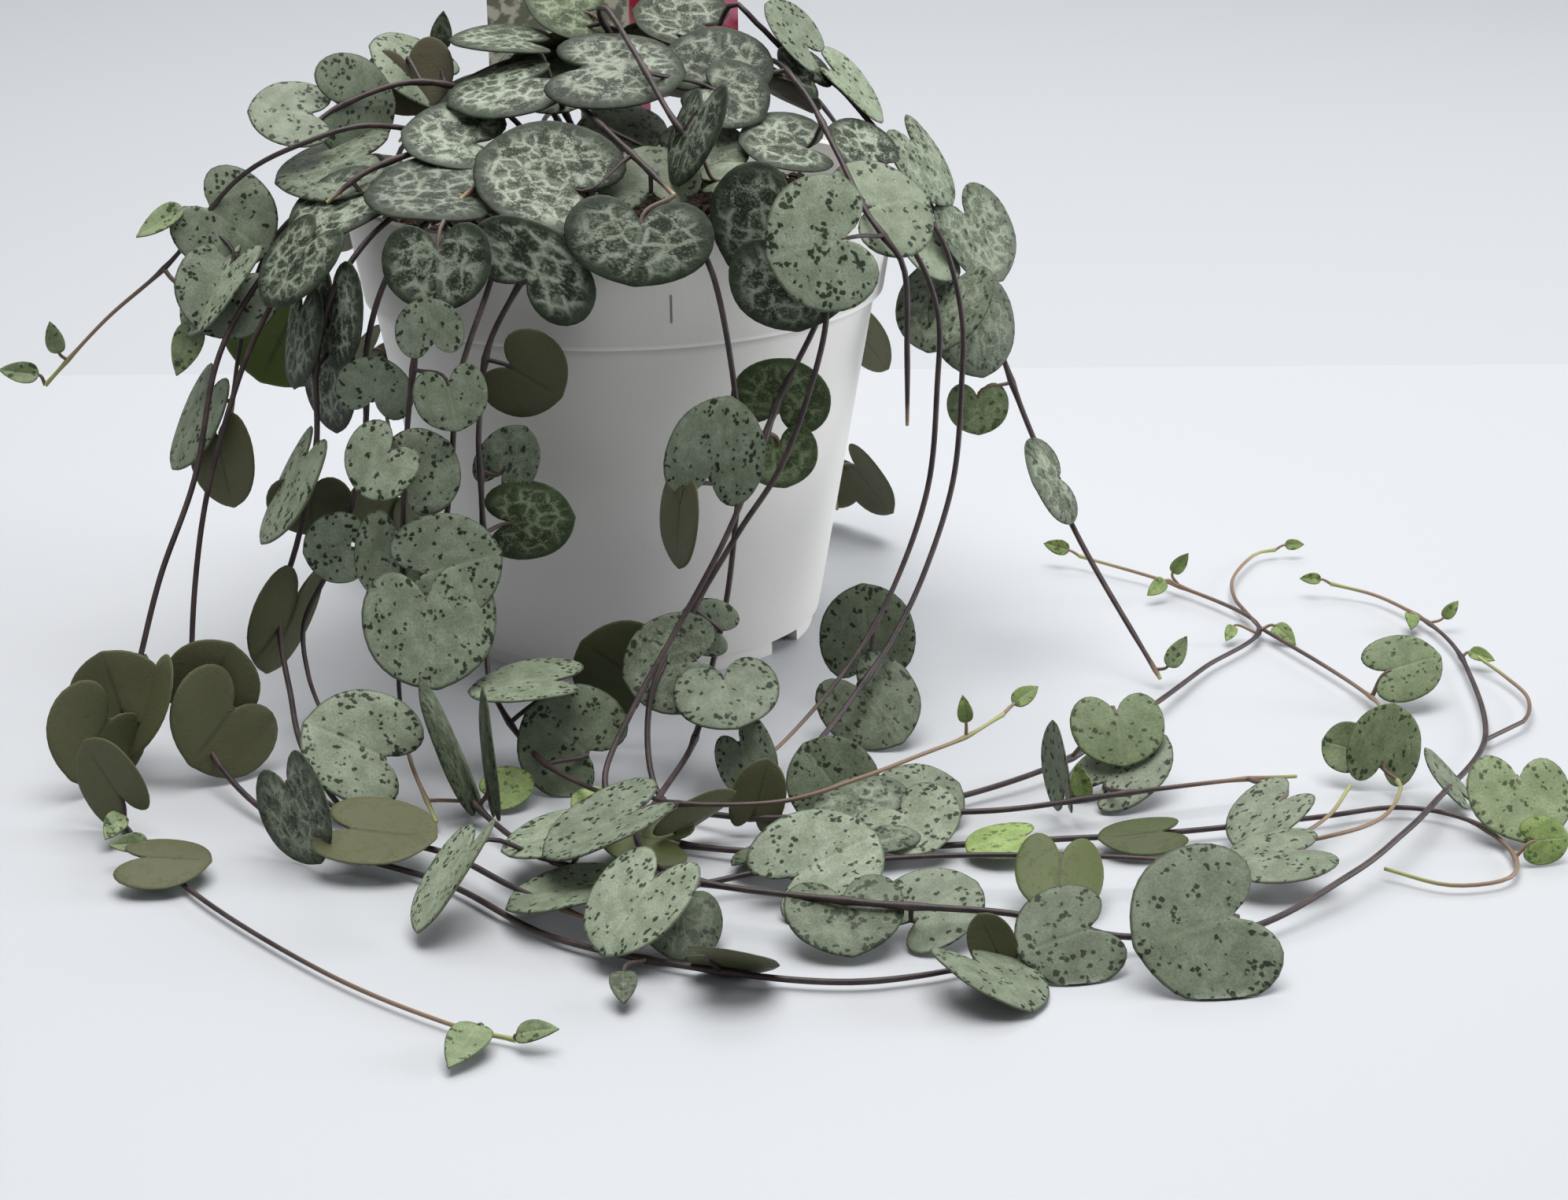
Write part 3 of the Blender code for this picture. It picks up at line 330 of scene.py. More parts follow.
for angle in SLOT_ANGLES:
    slot = bmesh.new()
    bmesh.ops.create_cube(slot, size=1.0)
    out = Matrix.Translation(((foot_outer - 0.5 * FOOT_WIDTH) * MM, 0.0, 0.0))
    size = Matrix.Diagonal((SLOT_DEPTH * MM, SLOT_WIDTH * MM, 2 * SLOT_HEIGHT * MM, 1.0))
    add_cutter(slot, Matrix.Rotation(math.radians(angle), 4, "Z") @ out @ size)
cut = pot_maker.modifiers.new("cut", "BOOLEAN")
cut.operand_type = "COLLECTION"
cut.collection = cutters
cut.solver = "EXACT"
edges = pot_maker.modifiers.new("edges", "BEVEL")
edges.width = EDGE_ROUND * MM
edges.segments = 2
edges.limit_method = "ANGLE"
edges.angle_limit = SHARP_ANGLE

plastic, nodes, shader = new_material("white_polypropylene")
spot = nodes.place()
x, y, z = nodes.parts(spot)
cloud = nodes.noise(spot, CLOUD_SCALE, 4.0)
thin, tall = SCUFF_SCALE
streak = nodes.noise(nodes.vector(x * thin, y * thin, z * tall), 1.0, 3.0)
# Warm grey blotches over the upper part of the pot, from a little under the collar up to the rim.
upper_blotches = z.step(UPPER_BLOTCHES_FROM * MM, POT_HEIGHT * MM) * cloud.step(0.45, 0.75)
scuff = streak.step(0.60, 0.78) * 0.10
mark_x = (x * TO_MM - MARK_PLACE[0]).size()
mark_z = (z * TO_MM - MARK_PLACE[1]).size()
waver = (streak - 0.5) * 0.25
mark = (mark_x + waver).step(*MARK_GONE_TO_FULL[0])
mark = mark * mark_z.step(*MARK_GONE_TO_FULL[1]) * y.step(0.0, -MM)
white = nodes.mix(upper_blotches * 0.22 + scuff, POT_WHITE, POT_UPPER_BLOTCH)
# Painted light at the collar's step: the pale band along the collar's bottom edge is a painted
# highlight, and the darker band just under it is a painted shadow.
height = z * TO_MM - COLLAR_BOTTOM
crease = height.step(-COLLAR_SHADOW_DEPTH, -LINE_BLUR) * height.step(LINE_BLUR, 0.0)
white = nodes.mix(crease, white, POT_UNDER_COLLAR_SHADOW)
bright, gone = EDGE_LIGHT
edge = height.step(-LINE_BLUR, LINE_BLUR) * height.step(gone, bright) * 0.9
white = nodes.mix(edge, white, POT_EDGE_HIGHLIGHT)
grain = nodes.noise(spot, GRAIN_SCALE, 2.0)
feed(
    nodes,
    shader,
    Base_Color=nodes.mix(mark * MARK_DARKNESS, white, POT_MARK),
    Roughness=0.40 + 0.16 * cloud + upper_blotches * 0.2,
    Normal=nodes.bump(grain * 0.6 + cloud, 0.00012, 0.35),
    IOR=1.49,
)
pot = shown("nursery_pot", finished(pot_maker), plastic)
emptied(cutters)
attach(pot, "root")
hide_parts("pot")

# Potting mix: dark peat with bark crumbs and a few grains of perlite, filled to a little under the
# rim and lightly mounded. The stems and the label stand in it.
SOIL_TOP = 80.0
SOIL_MOUND = 1.5
SOIL_LOW = 66.0
SOIL_RINGS = 36
SOIL_STEPS = 110
SOIL_GAP = 0.3
LUMP_HEIGHT = 1.3
LUMP_SCALE = 0.16
LUMP_SPREAD = (0.7, 2.2, 4)
EDGE_CALM = 8.0
CRUMB_COUNT = 2600
CRUMB_SIZE = (0.35, 1.5)
CRUMB_SHAPES = ((0.6, 0.6, 0.4), (1.5, 1.2, 0.8))
CRUMB_TURNS = ((0.0, 0.0, 0.0), (6.3, 6.3, 6.3))
LEAST_UPWARD = 0.4
PEAT_SCALE = 420.0
PERLITE_SCALE = 300.0
PEAT = (0.022, 0.014, 0.009, 1.0)
BARK = (0.085, 0.050, 0.028, 1.0)
PERLITE = (0.62, 0.60, 0.56, 1.0)


def modifier_tree(name, inputs):
    """A geometry tree with a geometry input and output, and named inputs for its sizes."""
    tree = bpy.data.node_groups.new(name, "GeometryNodeTree")
    tree.interface.new_socket("Geometry", in_out="INPUT", socket_type="NodeSocketGeometry")
    for label, kind in inputs:
        tree.interface.new_socket(label, in_out="INPUT", socket_type=kind)
    tree.interface.new_socket("Geometry", in_out="OUTPUT", socket_type="NodeSocketGeometry")
    made = Nodes(tree)
    entry = tree.nodes.new("NodeGroupInput")
    sockets = [Value(made, socket) for socket in entry.outputs]
    leave = tree.nodes.new("NodeGroupOutput")
    return tree, made, sockets, leave.inputs[0]


def run_tree(maker, tree, values):
    """Puts the tree on an object, with its inputs set by their identifiers."""
    modifier = maker.modifiers.new(tree.name, "NODES")
    modifier.node_group = tree
    for item in tree.interface.items_tree:
        if item.in_out == "INPUT" and item.name in values:
            modifier[item.identifier] = values[item.name]


soil_shape = bmesh.new()
centre = soil_shape.verts.new((0.0, 0.0, (SOIL_TOP + SOIL_MOUND) * MM))
rings = []
for i in range(1, SOIL_RINGS + 1):
    share = i / SOIL_RINGS
    ring = []
    for j in range(SOIL_STEPS):
        flat = Vector(around(360.0 * j / SOIL_STEPS, share * (inner_radius(SOIL_TOP) - SOIL_GAP), 0.0))
        lump = LUMP_HEIGHT * noise.fractal(flat * LUMP_SCALE, *LUMP_SPREAD)
        lump *= min(1.0, EDGE_CALM * (1.0 - share))
        height = SOIL_TOP + SOIL_MOUND * (1.0 - share**2) + lump
        ring.append(soil_shape.verts.new(Vector((flat.x, flat.y, height)) * MM))
    rings.append(ring)
low_radius = inner_radius(SOIL_LOW) - SOIL_GAP
ring = []
for j in range(SOIL_STEPS):
    low = around(360.0 * j / SOIL_STEPS, low_radius, SOIL_LOW)
    ring.append(soil_shape.verts.new(Vector(low) * MM))
rings.append(ring)
for j in range(SOIL_STEPS):
    soil_shape.faces.new((centre, rings[0][j], rings[0][(j + 1) % SOIL_STEPS]))
for inner, outer in zip(rings, rings[1:]):
    for j in range(SOIL_STEPS):
        k = (j + 1) % SOIL_STEPS
        soil_shape.faces.new((inner[j], outer[j], outer[k], inner[k]))
soil_shape.faces.new(list(reversed(rings[-1])))
bmesh.ops.recalc_face_normals(soil_shape, faces=soil_shape.faces)
soil_mesh = bpy.data.meshes.new("soil_bed")
soil_shape.to_mesh(soil_mesh)
soil_shape.free()
soil_maker = placed("soil_bed", soil_mesh)

peat, nodes, shader = new_material("potting_mix")
spot = nodes.place()
coarse = nodes.noise(spot, PEAT_SCALE, 3.0)
flecks = nodes.add("ShaderNodeTexVoronoi", None, {"Vector": spot, "Scale": PERLITE_SCALE}, 1)
fleck = nodes.parts(flecks)[0]
brown = nodes.mix(coarse.step(0.35, 0.75), PEAT, BARK)
feed(
    nodes,
    shader,
    Base_Color=nodes.mix(fleck.step(0.955, 0.965), brown, PERLITE),
    Roughness=0.82 + 0.16 * coarse,
    Normal=nodes.bump(nodes.noise(spot, 1300.0, 4.0), 0.0004, 0.8),
)

crumb_tree, made, sockets, way_out = modifier_tree(
    "crumbs",
    [("Count", "NodeSocketInt"), ("Smallest", "NodeSocketFloat"), ("Largest", "NodeSocketFloat")],
)
bed, count, smallest, largest = sockets[:4]
facing = made.parts(made.add("GeometryNodeInputNormal"))[2]
area = math.pi * (inner_radius(SOIL_TOP) * MM) ** 2
level = facing.math("GREATER_THAN", LEAST_UPWARD)
points = made.add(
    "GeometryNodeDistributePointsOnFaces",
    None,
    {"Mesh": bed, "Selection": level, "Density": count / area, "Seed": 4},
)
grain = made.add("GeometryNodeMeshIcoSphere", None, {"Radius": MM, "Subdivisions": 1})
kind = {"data_type": "FLOAT_VECTOR"}
turn, flatness = [
    made.add("FunctionNodeRandomValue", kind, {0: least, 1: most, "Seed": seed})
    for (least, most), seed in ((CRUMB_TURNS, 1), (CRUMB_SHAPES, 3))
]
sockets = {2: smallest, 3: largest, "Seed": 2}
size = made.add("FunctionNodeRandomValue", {"data_type": "FLOAT"}, sockets, 1)
scale = made.add("ShaderNodeVectorMath", {"operation": "SCALE"}, {0: flatness, 3: size})
sockets = {"Points": points, "Instance": grain, "Rotation": turn, "Scale": scale}
crumbs = made.add("GeometryNodeInstanceOnPoints", None, sockets)
crumbs = made.add("GeometryNodeRealizeInstances", None, {"Geometry": crumbs})
joined = made.add("GeometryNodeJoinGeometry", None, {0: crumbs})
made.tree.links.new(bed.socket, joined.socket.node.inputs[0])
dressed = made.add("GeometryNodeSetMaterial", None, {"Geometry": joined, "Material": peat})
made.tree.links.new(dressed.socket, way_out)
sizes = {"Count": CRUMB_COUNT, "Smallest": CRUMB_SIZE[0], "Largest": CRUMB_SIZE[1]}
run_tree(soil_maker, crumb_tree, sizes)
soil = shown("potting_mix_bed", finished(soil_maker), peat)
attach(soil, "root")
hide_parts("soil")

# Leaves: fleshy hearts as wide as they are long, on short stalks in opposite pairs. The upper side
# is silver over dark green, from a marbled net to scattered speckles, and the underside is olive.
SURFACE_CLEARANCE = 0.4
LEAST_THICKNESS = 0.7
BLADE_SHARE = 0.06
CUP = 0.12
HEART = ((0.42, -0.36), (0.82, 0.10), (0.61, 0.71))
SLIM = ((0.26, 0.08), (0.26, 0.60))
HEART_RIM = (
    (0.0, -0.01), (0.10, -0.17), (0.27, -0.31), (0.48, -0.34), (0.68, -0.21), (0.80, 0.05),
    (0.80, 0.34), (0.71, 0.60), (0.53, 0.80), (0.30, 0.93), (0.11, 0.985),
)
HEART_TIP = (0.0, 1.01)
SLIM_RIM = (
    (0.0, 0.0), (0.12, 0.02), (0.24, 0.12), (0.29, 0.32), (0.26, 0.56), (0.15, 0.82), (0.06, 0.95),
)
SLIM_TIP = (0.0, 1.03)
HEART_MIDDLE = (0.0, 0.36)
SLIM_MIDDLE = (0.0, 0.45)
LEAF_RINGS = (0.20, 0.40, 0.58, 0.74, 0.86, 0.94, 0.985)
LEAF_PLUMPNESS = 0.05
LEAF_EDGE = 0.004
CURL_START = 0.35
RIM_WAVES = 5.0
HEART_FORMS = (
    # cup, fold along the midrib, curl of the tip, waves of the rim, and their phase
    (0.07, 0.00, -0.04, 0.004, 0.0),
    (-0.06, 0.02, -0.07, 0.005, 1.1),
    (0.11, 0.03, 0.02, 0.004, 2.3),
    (-0.10, 0.00, -0.04, 0.004, 3.0),
    (0.03, 0.06, -0.08, 0.006, 4.2),
    (-0.03, -0.02, 0.04, 0.005, 5.3),
)
SLIM_FORMS = ((0.20, 0.10, -0.12, 0.0, 0.0), (0.30, 0.20, 0.14, 0.0, 0.0))
PALE = (0.190, 0.228, 0.166, 1.0)
SILVER = (0.300, 0.340, 0.275, 1.0)
DEEP = (0.005, 0.010, 0.004, 1.0)
DEEP_SOFT = (0.013, 0.024, 0.010, 1.0)
FRESH = (0.20, 0.285, 0.075, 1.0)
FRESH_DEEP = (0.050, 0.095, 0.016, 1.0)
UNDER_OLIVE = (0.092, 0.098, 0.048, 1.0)
UNDER_PURPLE = (0.105, 0.088, 0.058, 1.0)
UNDER_GREEN = (0.13, 0.19, 0.04, 1.0)
PATCH = 2.9
SPOT = 1.15
PATTERN_WAVER = (2.0, 2.0, 0.0)
CLOUDS_PER_MM = 0.33
FLECKS_PER_MM = 2.6
FINE_MOTTLE = ((0.80, 0.82, 0.79, 1.0), (1.20, 1.18, 1.21, 1.0))
WIDE_MOTTLE = ((0.82, 0.84, 0.80, 1.0), (1.18, 1.16, 1.20, 1.0))
TONE_AND_PAINTED_LIGHT_RANGE = ((0.34, 0.36, 0.33, 1.0), (1.20, 1.19, 1.17, 1.0))
MIDRIB_PALE = (0.30, 0.34, 0.24, 1.0)
UNDER_VEIN = (0.05, 0.05, 0.03, 1.0)


def rounded(points, count):
    """A closed Catmull-Rom loop through the points, with count lengths between each two."""
    total = len(points)
    loop = []
    for i in range(total):
        before, start, end, after = (Vector(points[(i + k) % total]) for k in (-1, 0, 1, 2))
        for j in range(count):
            loop.append(curve_point(before, start, end, after, j / count))
    return loop


def curve_point(before, start, end, after, t):
    """A point at a share t of the way from start to end on a Catmull-Rom curve."""
    linear = (end - before) * t
    square = (2 * before - 5 * start + 4 * end - after) * t**2
    cube = (3 * start - before - 3 * end + after) * t**3
    return 0.5 * (2 * start + linear + square + cube)


def face_outwards(mesh, merge=False):
    """Turns a closed mesh's faces outwards, with its doubled corners merged first if asked."""
    shape = bmesh.new()
    shape.from_mesh(mesh)
    if merge:
        bmesh.ops.remove_doubles(shape, verts=shape.verts, dist=1e-6)
    bmesh.ops.recalc_face_normals(shape, faces=shape.faces)
    shape.to_mesh(mesh)
    shape.free()


def leaf_shape(name, half, tip, middle, form):
    """A closed blade of length 1, from its notch along +Y, with its upper side towards +Z."""
    cup, fold, curl, wave, phase = form
    points = [*half, tip, *[(-x, y) for x, y in reversed(half[1:])]]
    rim = rounded(points, 2)
    centre = Vector(middle)
    verts, places, uppers = [], [], []

    def corner(spot, share, side):
        """A corner at a share of the way to the rim: side is 1 above, -1 below and 0 on the rim."""
        x, y = spot
        turn = math.atan2(x, y - centre.y)
        bend = cup * x * x + fold * abs(x) + curl * (y - CURL_START) ** 2
        bend += wave * share**3 * math.sin(RIM_WAVES * turn + phase)
        half_thick = 0.5 * LEAF_PLUMPNESS * math.sqrt(1.0 - share**6) + LEAF_EDGE
        verts.append((x, y, bend + side * half_thick))
        places.append((x, y, share))
        uppers.append(0.5 + 0.5 * side)

    for side in (1.0, -1.0):
        for share in (0.0, *LEAF_RINGS):
            for spot in [centre] if share == 0.0 else rim:
                corner(centre + share * (spot - centre), share, side)
    count = len(rim)
    layer = 1 + count * len(LEAF_RINGS)
    edge = len(verts)
    for spot in rim:
        corner(spot, 1.0, 0.0)
    faces = []
    for side in (0, 1):
        first = side * layer
        for j in range(count):
            k = (j + 1) % count
            made = [(first, first + 1 + j, first + 1 + k)]
            for i in range(len(LEAF_RINGS) - 1):
                near, far = first + 1 + i * count, first + 1 + (i + 1) * count
                made.append((near + j, far + j, far + k, near + k))
            near = first + 1 + (len(LEAF_RINGS) - 1) * count
            made.append((near + j, edge + j, edge + k, near + k))
            faces += made if side else [tuple(reversed(face)) for face in made]
    mesh = bpy.data.meshes.new(name)
    mesh.from_pydata(verts, [], faces)
    flat_places = [part for place in places for part in place]
    mesh.attributes.new("place", "FLOAT_VECTOR", "POINT").data.foreach_set("vector", flat_places)
    mesh.attributes.new("upper", "FLOAT", "POINT").data.foreach_set("value", uppers)
    mesh.shade_smooth()
    face_outwards(mesh)
    return bpy.data.objects.new(name, mesh)


leaf_shapes = helper_collection("leaf_shapes")
for i, form in enumerate(HEART_FORMS):
    leaf_shapes.objects.link(leaf_shape(f"leaf_{i}_heart", HEART_RIM, HEART_TIP, HEART_MIDDLE, form))
for i, form in enumerate(SLIM_FORMS, len(HEART_FORMS)):
    leaf_shapes.objects.link(leaf_shape(f"leaf_{i}_slim", SLIM_RIM, SLIM_TIP, SLIM_MIDDLE, form))

leaf_skin, nodes, shader = new_material("leaf_skin")
across, along, rim_share = nodes.parts(nodes.attribute("place", 1))
length, marble, seed = nodes.parts(nodes.attribute("blade", 1))
fresh, shade, warm = nodes.parts(nodes.attribute("tone", 1))
upper = nodes.attribute("upper", 2)
flat = nodes.vector(across * length, along * length, seed * 60.0)
cloud = nodes.noise(flat, CLOUDS_PER_MM, 2.0)
fine = nodes.noise(flat, FLECKS_PER_MM, 3.0)
waver = nodes.noise(flat, 0.8, 5.0, 0.72, 1)
sockets = {0: waver, 1: PATTERN_WAVER, 2: flat}
moved = nodes.add("ShaderNodeVectorMath", {"operation": "MULTIPLY_ADD"}, sockets)
midrib = across.size().step(0.05, 0.012) * along.step(0.95, 0.6)
reach = (rim_share + 0.30 * (cloud - 0.5)).step(0.66, 0.96)


def edges_of(size):
    """Distance to the border of the nearest of many cells about a size across, in cells."""
    sockets = {"Vector": moved, "Scale": 1.0 / size, "Randomness": 1.0}
    return nodes.add("ShaderNodeTexVoronoi", {"feature": "DISTANCE_TO_EDGE"}, sockets)


veined = (1.0 - edges_of(PATCH).step(0.02, 0.22)) * (cloud + 0.7 * (fine - 0.5)).step(0.26, 0.52)
crazed = (1.0 - edges_of(SPOT).step(0.02, 0.24)) * (fine + 0.5 * cloud).step(0.58, 0.98) * 0.55
haze = (cloud + 0.45 * (fine - 0.5)).step(0.50, 0.84) * 0.38
silver = veined.above(crazed).above(haze).above(0.4 * midrib) * (1.0 - 0.95 * reach)
dots = nodes.add("ShaderNodeTexVoronoi", None, {"Vector": moved, "Scale": 1.0 / SPOT, "Randomness": 1.0})
crowd = nodes.noise(flat, 0.42, 1.0) + 0.10 * reach
speckle = (0.15 * marble + 0.46 * crowd.step(0.42, 0.64) + 0.12 * (fine - 0.5) - dots).step(0.0, 0.13)
edge_line = rim_share.step(0.945, 0.985) * (0.55 + 0.3 * marble)
dark_share = nodes.mix(marble.step(0.30, 0.70), speckle, 1.0 - silver)
dark_share = Value(nodes, dark_share.socket).above(edge_line)
pale = nodes.mix(marble, PALE, SILVER)
pale = nodes.mix(fresh, pale, FRESH)
deep = nodes.mix(cloud.step(0.3, 0.7), DEEP, DEEP_SOFT)
deep = nodes.mix(fresh, deep, FRESH_DEEP)
mottle = nodes.mix(fine.step(0.25, 0.75), *FINE_MOTTLE)
mottle = nodes.tint(1.0, mottle, nodes.mix(cloud.step(0.3, 0.7), *WIDE_MOTTLE))
top = nodes.tint(1.0, nodes.mix(dark_share * (0.97 - 0.25 * fresh), pale, deep), mottle)
top = nodes.mix(0.25 * midrib * (1.0 - marble), top, MIDRIB_PALE)
veins = nodes.noise(nodes.vector(across * 4.0, along * 3.0, seed * 9.0), 2.0, 2.0)
under = nodes.mix(warm.above(cloud.step(0.35, 0.8) * 0.6), UNDER_OLIVE, UNDER_PURPLE)
under = nodes.mix(fresh, under, UNDER_GREEN)
under = nodes.mix(midrib * 0.5 + veins.step(0.55, 0.8) * 0.25, under, UNDER_VEIN)
skin = nodes.mix(upper.step(0.35, 0.65), under, top)
# A leaf's lightness: partly its own tone, and partly painted shade and painted light for where it lies.
tone_and_painted_light = nodes.mix(shade, *TONE_AND_PAINTED_LIGHT_RANGE)
crease = 1.0 - across.size().step(0.0, 0.06) * along.step(1.0, 0.7)
feed(
    nodes,
    shader,
    Base_Color=nodes.tint(1.0, skin, tone_and_painted_light),
    Specular_IOR_Level=0.28,
    Roughness=0.46 + 0.10 * fine + 0.08 * dark_share,
    Normal=nodes.bump(fine * 0.5 - dark_share * 0.3 - crease * 0.6, 0.00012, 0.8),
)

# Stems: thin, wiry and purple brown, and tan where they are young. They rise from the soil, cross
# the rim and hang to the surface, with a small swelling where each leaf stalk leaves.
STEM_RADIUS = 0.52
STALK_RADIUS = 0.40
STEM_SIDES = 8
ROOT_HEIGHT = 70
STRAND_RISE = 82
FINE_STEP = 2.0
YOUNG_LENGTH = 32.0
TIP_THINNESS = 0.62
NODE_SWELL = (1.45, 1.15)
STALK_STEPS = 7
STALK_AGE = 0.35
LEAST_RELIEF = 9.0
LOWEST = 0.3
STEM_BROWN = (0.060, 0.036, 0.034, 1.0)
STEM_DARK = (0.026, 0.016, 0.018, 1.0)
STEM_TAN = (0.25, 0.165, 0.105, 1.0)
STEM_GREEN = (0.34, 0.36, 0.14, 1.0)

stem_skin, nodes, shader = new_material("stem_skin")
age = nodes.attribute("age", 2)
spot = nodes.place()
streak = nodes.noise(spot, 260.0, 3.0)
bark = nodes.mix(streak.step(0.35, 0.7), STEM_DARK, STEM_BROWN)
young = nodes.mix(age.step(0.75, 1.0), STEM_TAN, STEM_GREEN)
feed(
    nodes,
    shader,
    Base_Color=nodes.mix(age.step(0.10, 0.75), bark, young),
    Roughness=0.42 + 0.2 * streak,
    Normal=nodes.bump(nodes.noise(spot, 900.0, 2.0), 0.00015, 0.5),
)

spray_tree, made, sockets, way_out = modifier_tree(
    "spray", [("Stem sides", "NodeSocketInt"), ("Lowest", "NodeSocketFloat")]
)
skeleton, sides, lowest = sockets[:3]


def named(label, kind):
    """What the skeleton holds at each point under a name."""
    return made.add("GeometryNodeInputNamedAttribute", {"data_type": kind}, {"Name": label})


sockets = {"Geometry": skeleton, "Selection": named("is_leaf", "BOOLEAN")}
parts = made.add("GeometryNodeSeparateGeometry", None, sockets)
wires = Value(made, parts.socket.node.outputs["Inverted"])
lines = made.add("GeometryNodeMeshToCurve", None, {"Mesh": wires})
ring = made.add("GeometryNodeCurvePrimitiveCircle", None, {"Resolution": sides, "Radius": 1.0})
stems = made.add(
    "GeometryNodeCurveToMesh",
    None,
    {"Curve": lines, "Profile Curve": ring, "Scale": named("radius", "FLOAT"), "Fill Caps": True},
)
stems = made.add("GeometryNodeSetMaterial", None, {"Geometry": stems, "Material": stem_skin})
sockets = {"Collection": leaf_shapes, "Separate Children": True, "Reset Children": True}
shapes = made.add("GeometryNodeCollectionInfo", None, sockets)
turn = made.add(
    "FunctionNodeAxesToRotation",
    {"primary_axis": "Y", "secondary_axis": "Z"},
    {"Primary Axis": named("along", "FLOAT_VECTOR"), "Secondary Axis": named("facing", "FLOAT_VECTOR")},
)
leaves = made.add(
    "GeometryNodeInstanceOnPoints",
    None,
    {
        "Points": parts,
        "Instance": shapes,
        "Pick Instance": True,
        "Instance Index": named("form", "INT"),
        "Rotation": turn,
        "Scale": named("scale", "FLOAT_VECTOR"),
    },
)
leaves = made.add("GeometryNodeRealizeInstances", None, {"Geometry": leaves})
leaves = made.add("GeometryNodeSetMaterial", None, {"Geometry": leaves, "Material": leaf_skin})
joined = made.add("GeometryNodeJoinGeometry", None, {0: leaves})
made.tree.links.new(stems.socket, joined.socket.node.inputs[0])
px, py, pz = made.parts(made.add("GeometryNodeInputPosition"))
sockets = {"Geometry": joined, "Position": made.vector(px, py, pz.above(lowest))}
settled = made.add("GeometryNodeSetPosition", None, sockets)
made.tree.links.new(settled.socket, way_out)


def heart(base, tip, face, width=1.0, look=None):
    """A heart leaf from its notch to its tip, with its upper side towards face."""
    return base, tip, face, tuple((width * x, y) for x, y in HEART), width, look


def slim(base, tip, face, look=None):
    """A young, narrow leaf."""
    return base, tip, face, SLIM, 0.0, look


def smooth_route(points, step):
    """Points about a step apart on a Catmull-Rom curve, whose first length is straight."""
    knots = [Vector(p) for p in points]
    route = [knots[0]]
    knots.append(2 * knots[-1] - knots[-2])
    for before, start, end, after in zip(knots, knots[1:], knots[2:], knots[3:]):
        count = max(1, round((end - start).length / step))
        route += [curve_point(before, start, end, after, i / count) for i in range(count)]
    route.append(knots[-2])
    return route


def blade_frame(base, tip, face, outline):
    """Start, length and axes of a leaf, lifted where it would dip into the surface."""
    start, end = Vector(base), Vector(tip)
    length = (end - start).length
    along = (end - start) / length
    normal = Vector(face)
    normal = (normal - normal.dot(along) * along).normalized()
    across = along.cross(normal)
    thickness = max(LEAST_THICKNESS, BLADE_SHARE * length)
    rim = [(0.0, 0.0), *outline, (0.0, 1.0), *[(-x, y) for x, y in outline]]
    reach = [start + length * (x * across + y * along + CUP * x * x * normal) for x, y in rim]
    low = min(point.z for point in reach) - 0.5 * thickness
    start.z += max(0.0, SURFACE_CLEARANCE - low)
    return start, length, along, normal


FIELDS = {
    "is_leaf": ("BOOLEAN", "value", False),
    "radius": ("FLOAT", "value", STEM_RADIUS * MM),
    "age": ("FLOAT", "value", 0.0),
    "along": ("FLOAT_VECTOR", "vector", (0.0, 1.0, 0.0)),
    "facing": ("FLOAT_VECTOR", "vector", (0.0, 0.0, 1.0)),
    "scale": ("FLOAT_VECTOR", "vector", (1.0, 1.0, 1.0)),
    "form": ("INT", "value", 0),
    "blade": ("FLOAT_VECTOR", "vector", (0.0, 0.0, 0.0)),
    "tone": ("FLOAT_VECTOR", "vector", (0.0, 0.0, 0.0)),
}
# Looks of a leaf: how marbled, how fresh green, how warm underneath and how light, from 0 to 1
# How light a leaf is comes partly from its own tone and partly from painting: darker for leaves in
# shade, lighter for leaves that face the camera.
MARBLED = (0.88, 0.05, 0.3, 0.60)
MIXED = (0.55, 0.08, 0.3, 0.58)
SPECKLED = (0.16, 0.06, 0.3, 0.68)
PLAIN = (0.04, 0.02, 0.3, 0.88)
GREEN = (0.12, 0.85, 0.0, 0.75)
GREEN_NET = (0.75, 0.32, 0.2, 0.62)
FRESH_NET = (0.58, 0.45, 0.1, 0.75)
FRESH_SPOTTED = (0.16, 0.40, 0.1, 0.56)
SPOTTED = (0.32, 0.14, 0.3, 0.50)
GREEN_UNDER = (0.30, 0.45, 0.2, 0.45)
# A darker look: painted shade on leaves that lie in shade.
SHADED = (0.50, 0.15, 0.3, 0.36)
SHOOT = (0.10, 0.40, 0.1, 0.62)
DUSKY = (0.9, 0.0, 1.0, 0.60)
# The speckled look made lighter: painted light on leaves that face the camera.
SPECKLED_PAINTED_LIGHT = (0.16, 0.06, 0.3, 0.96)
TONE_SPREAD = 0.24


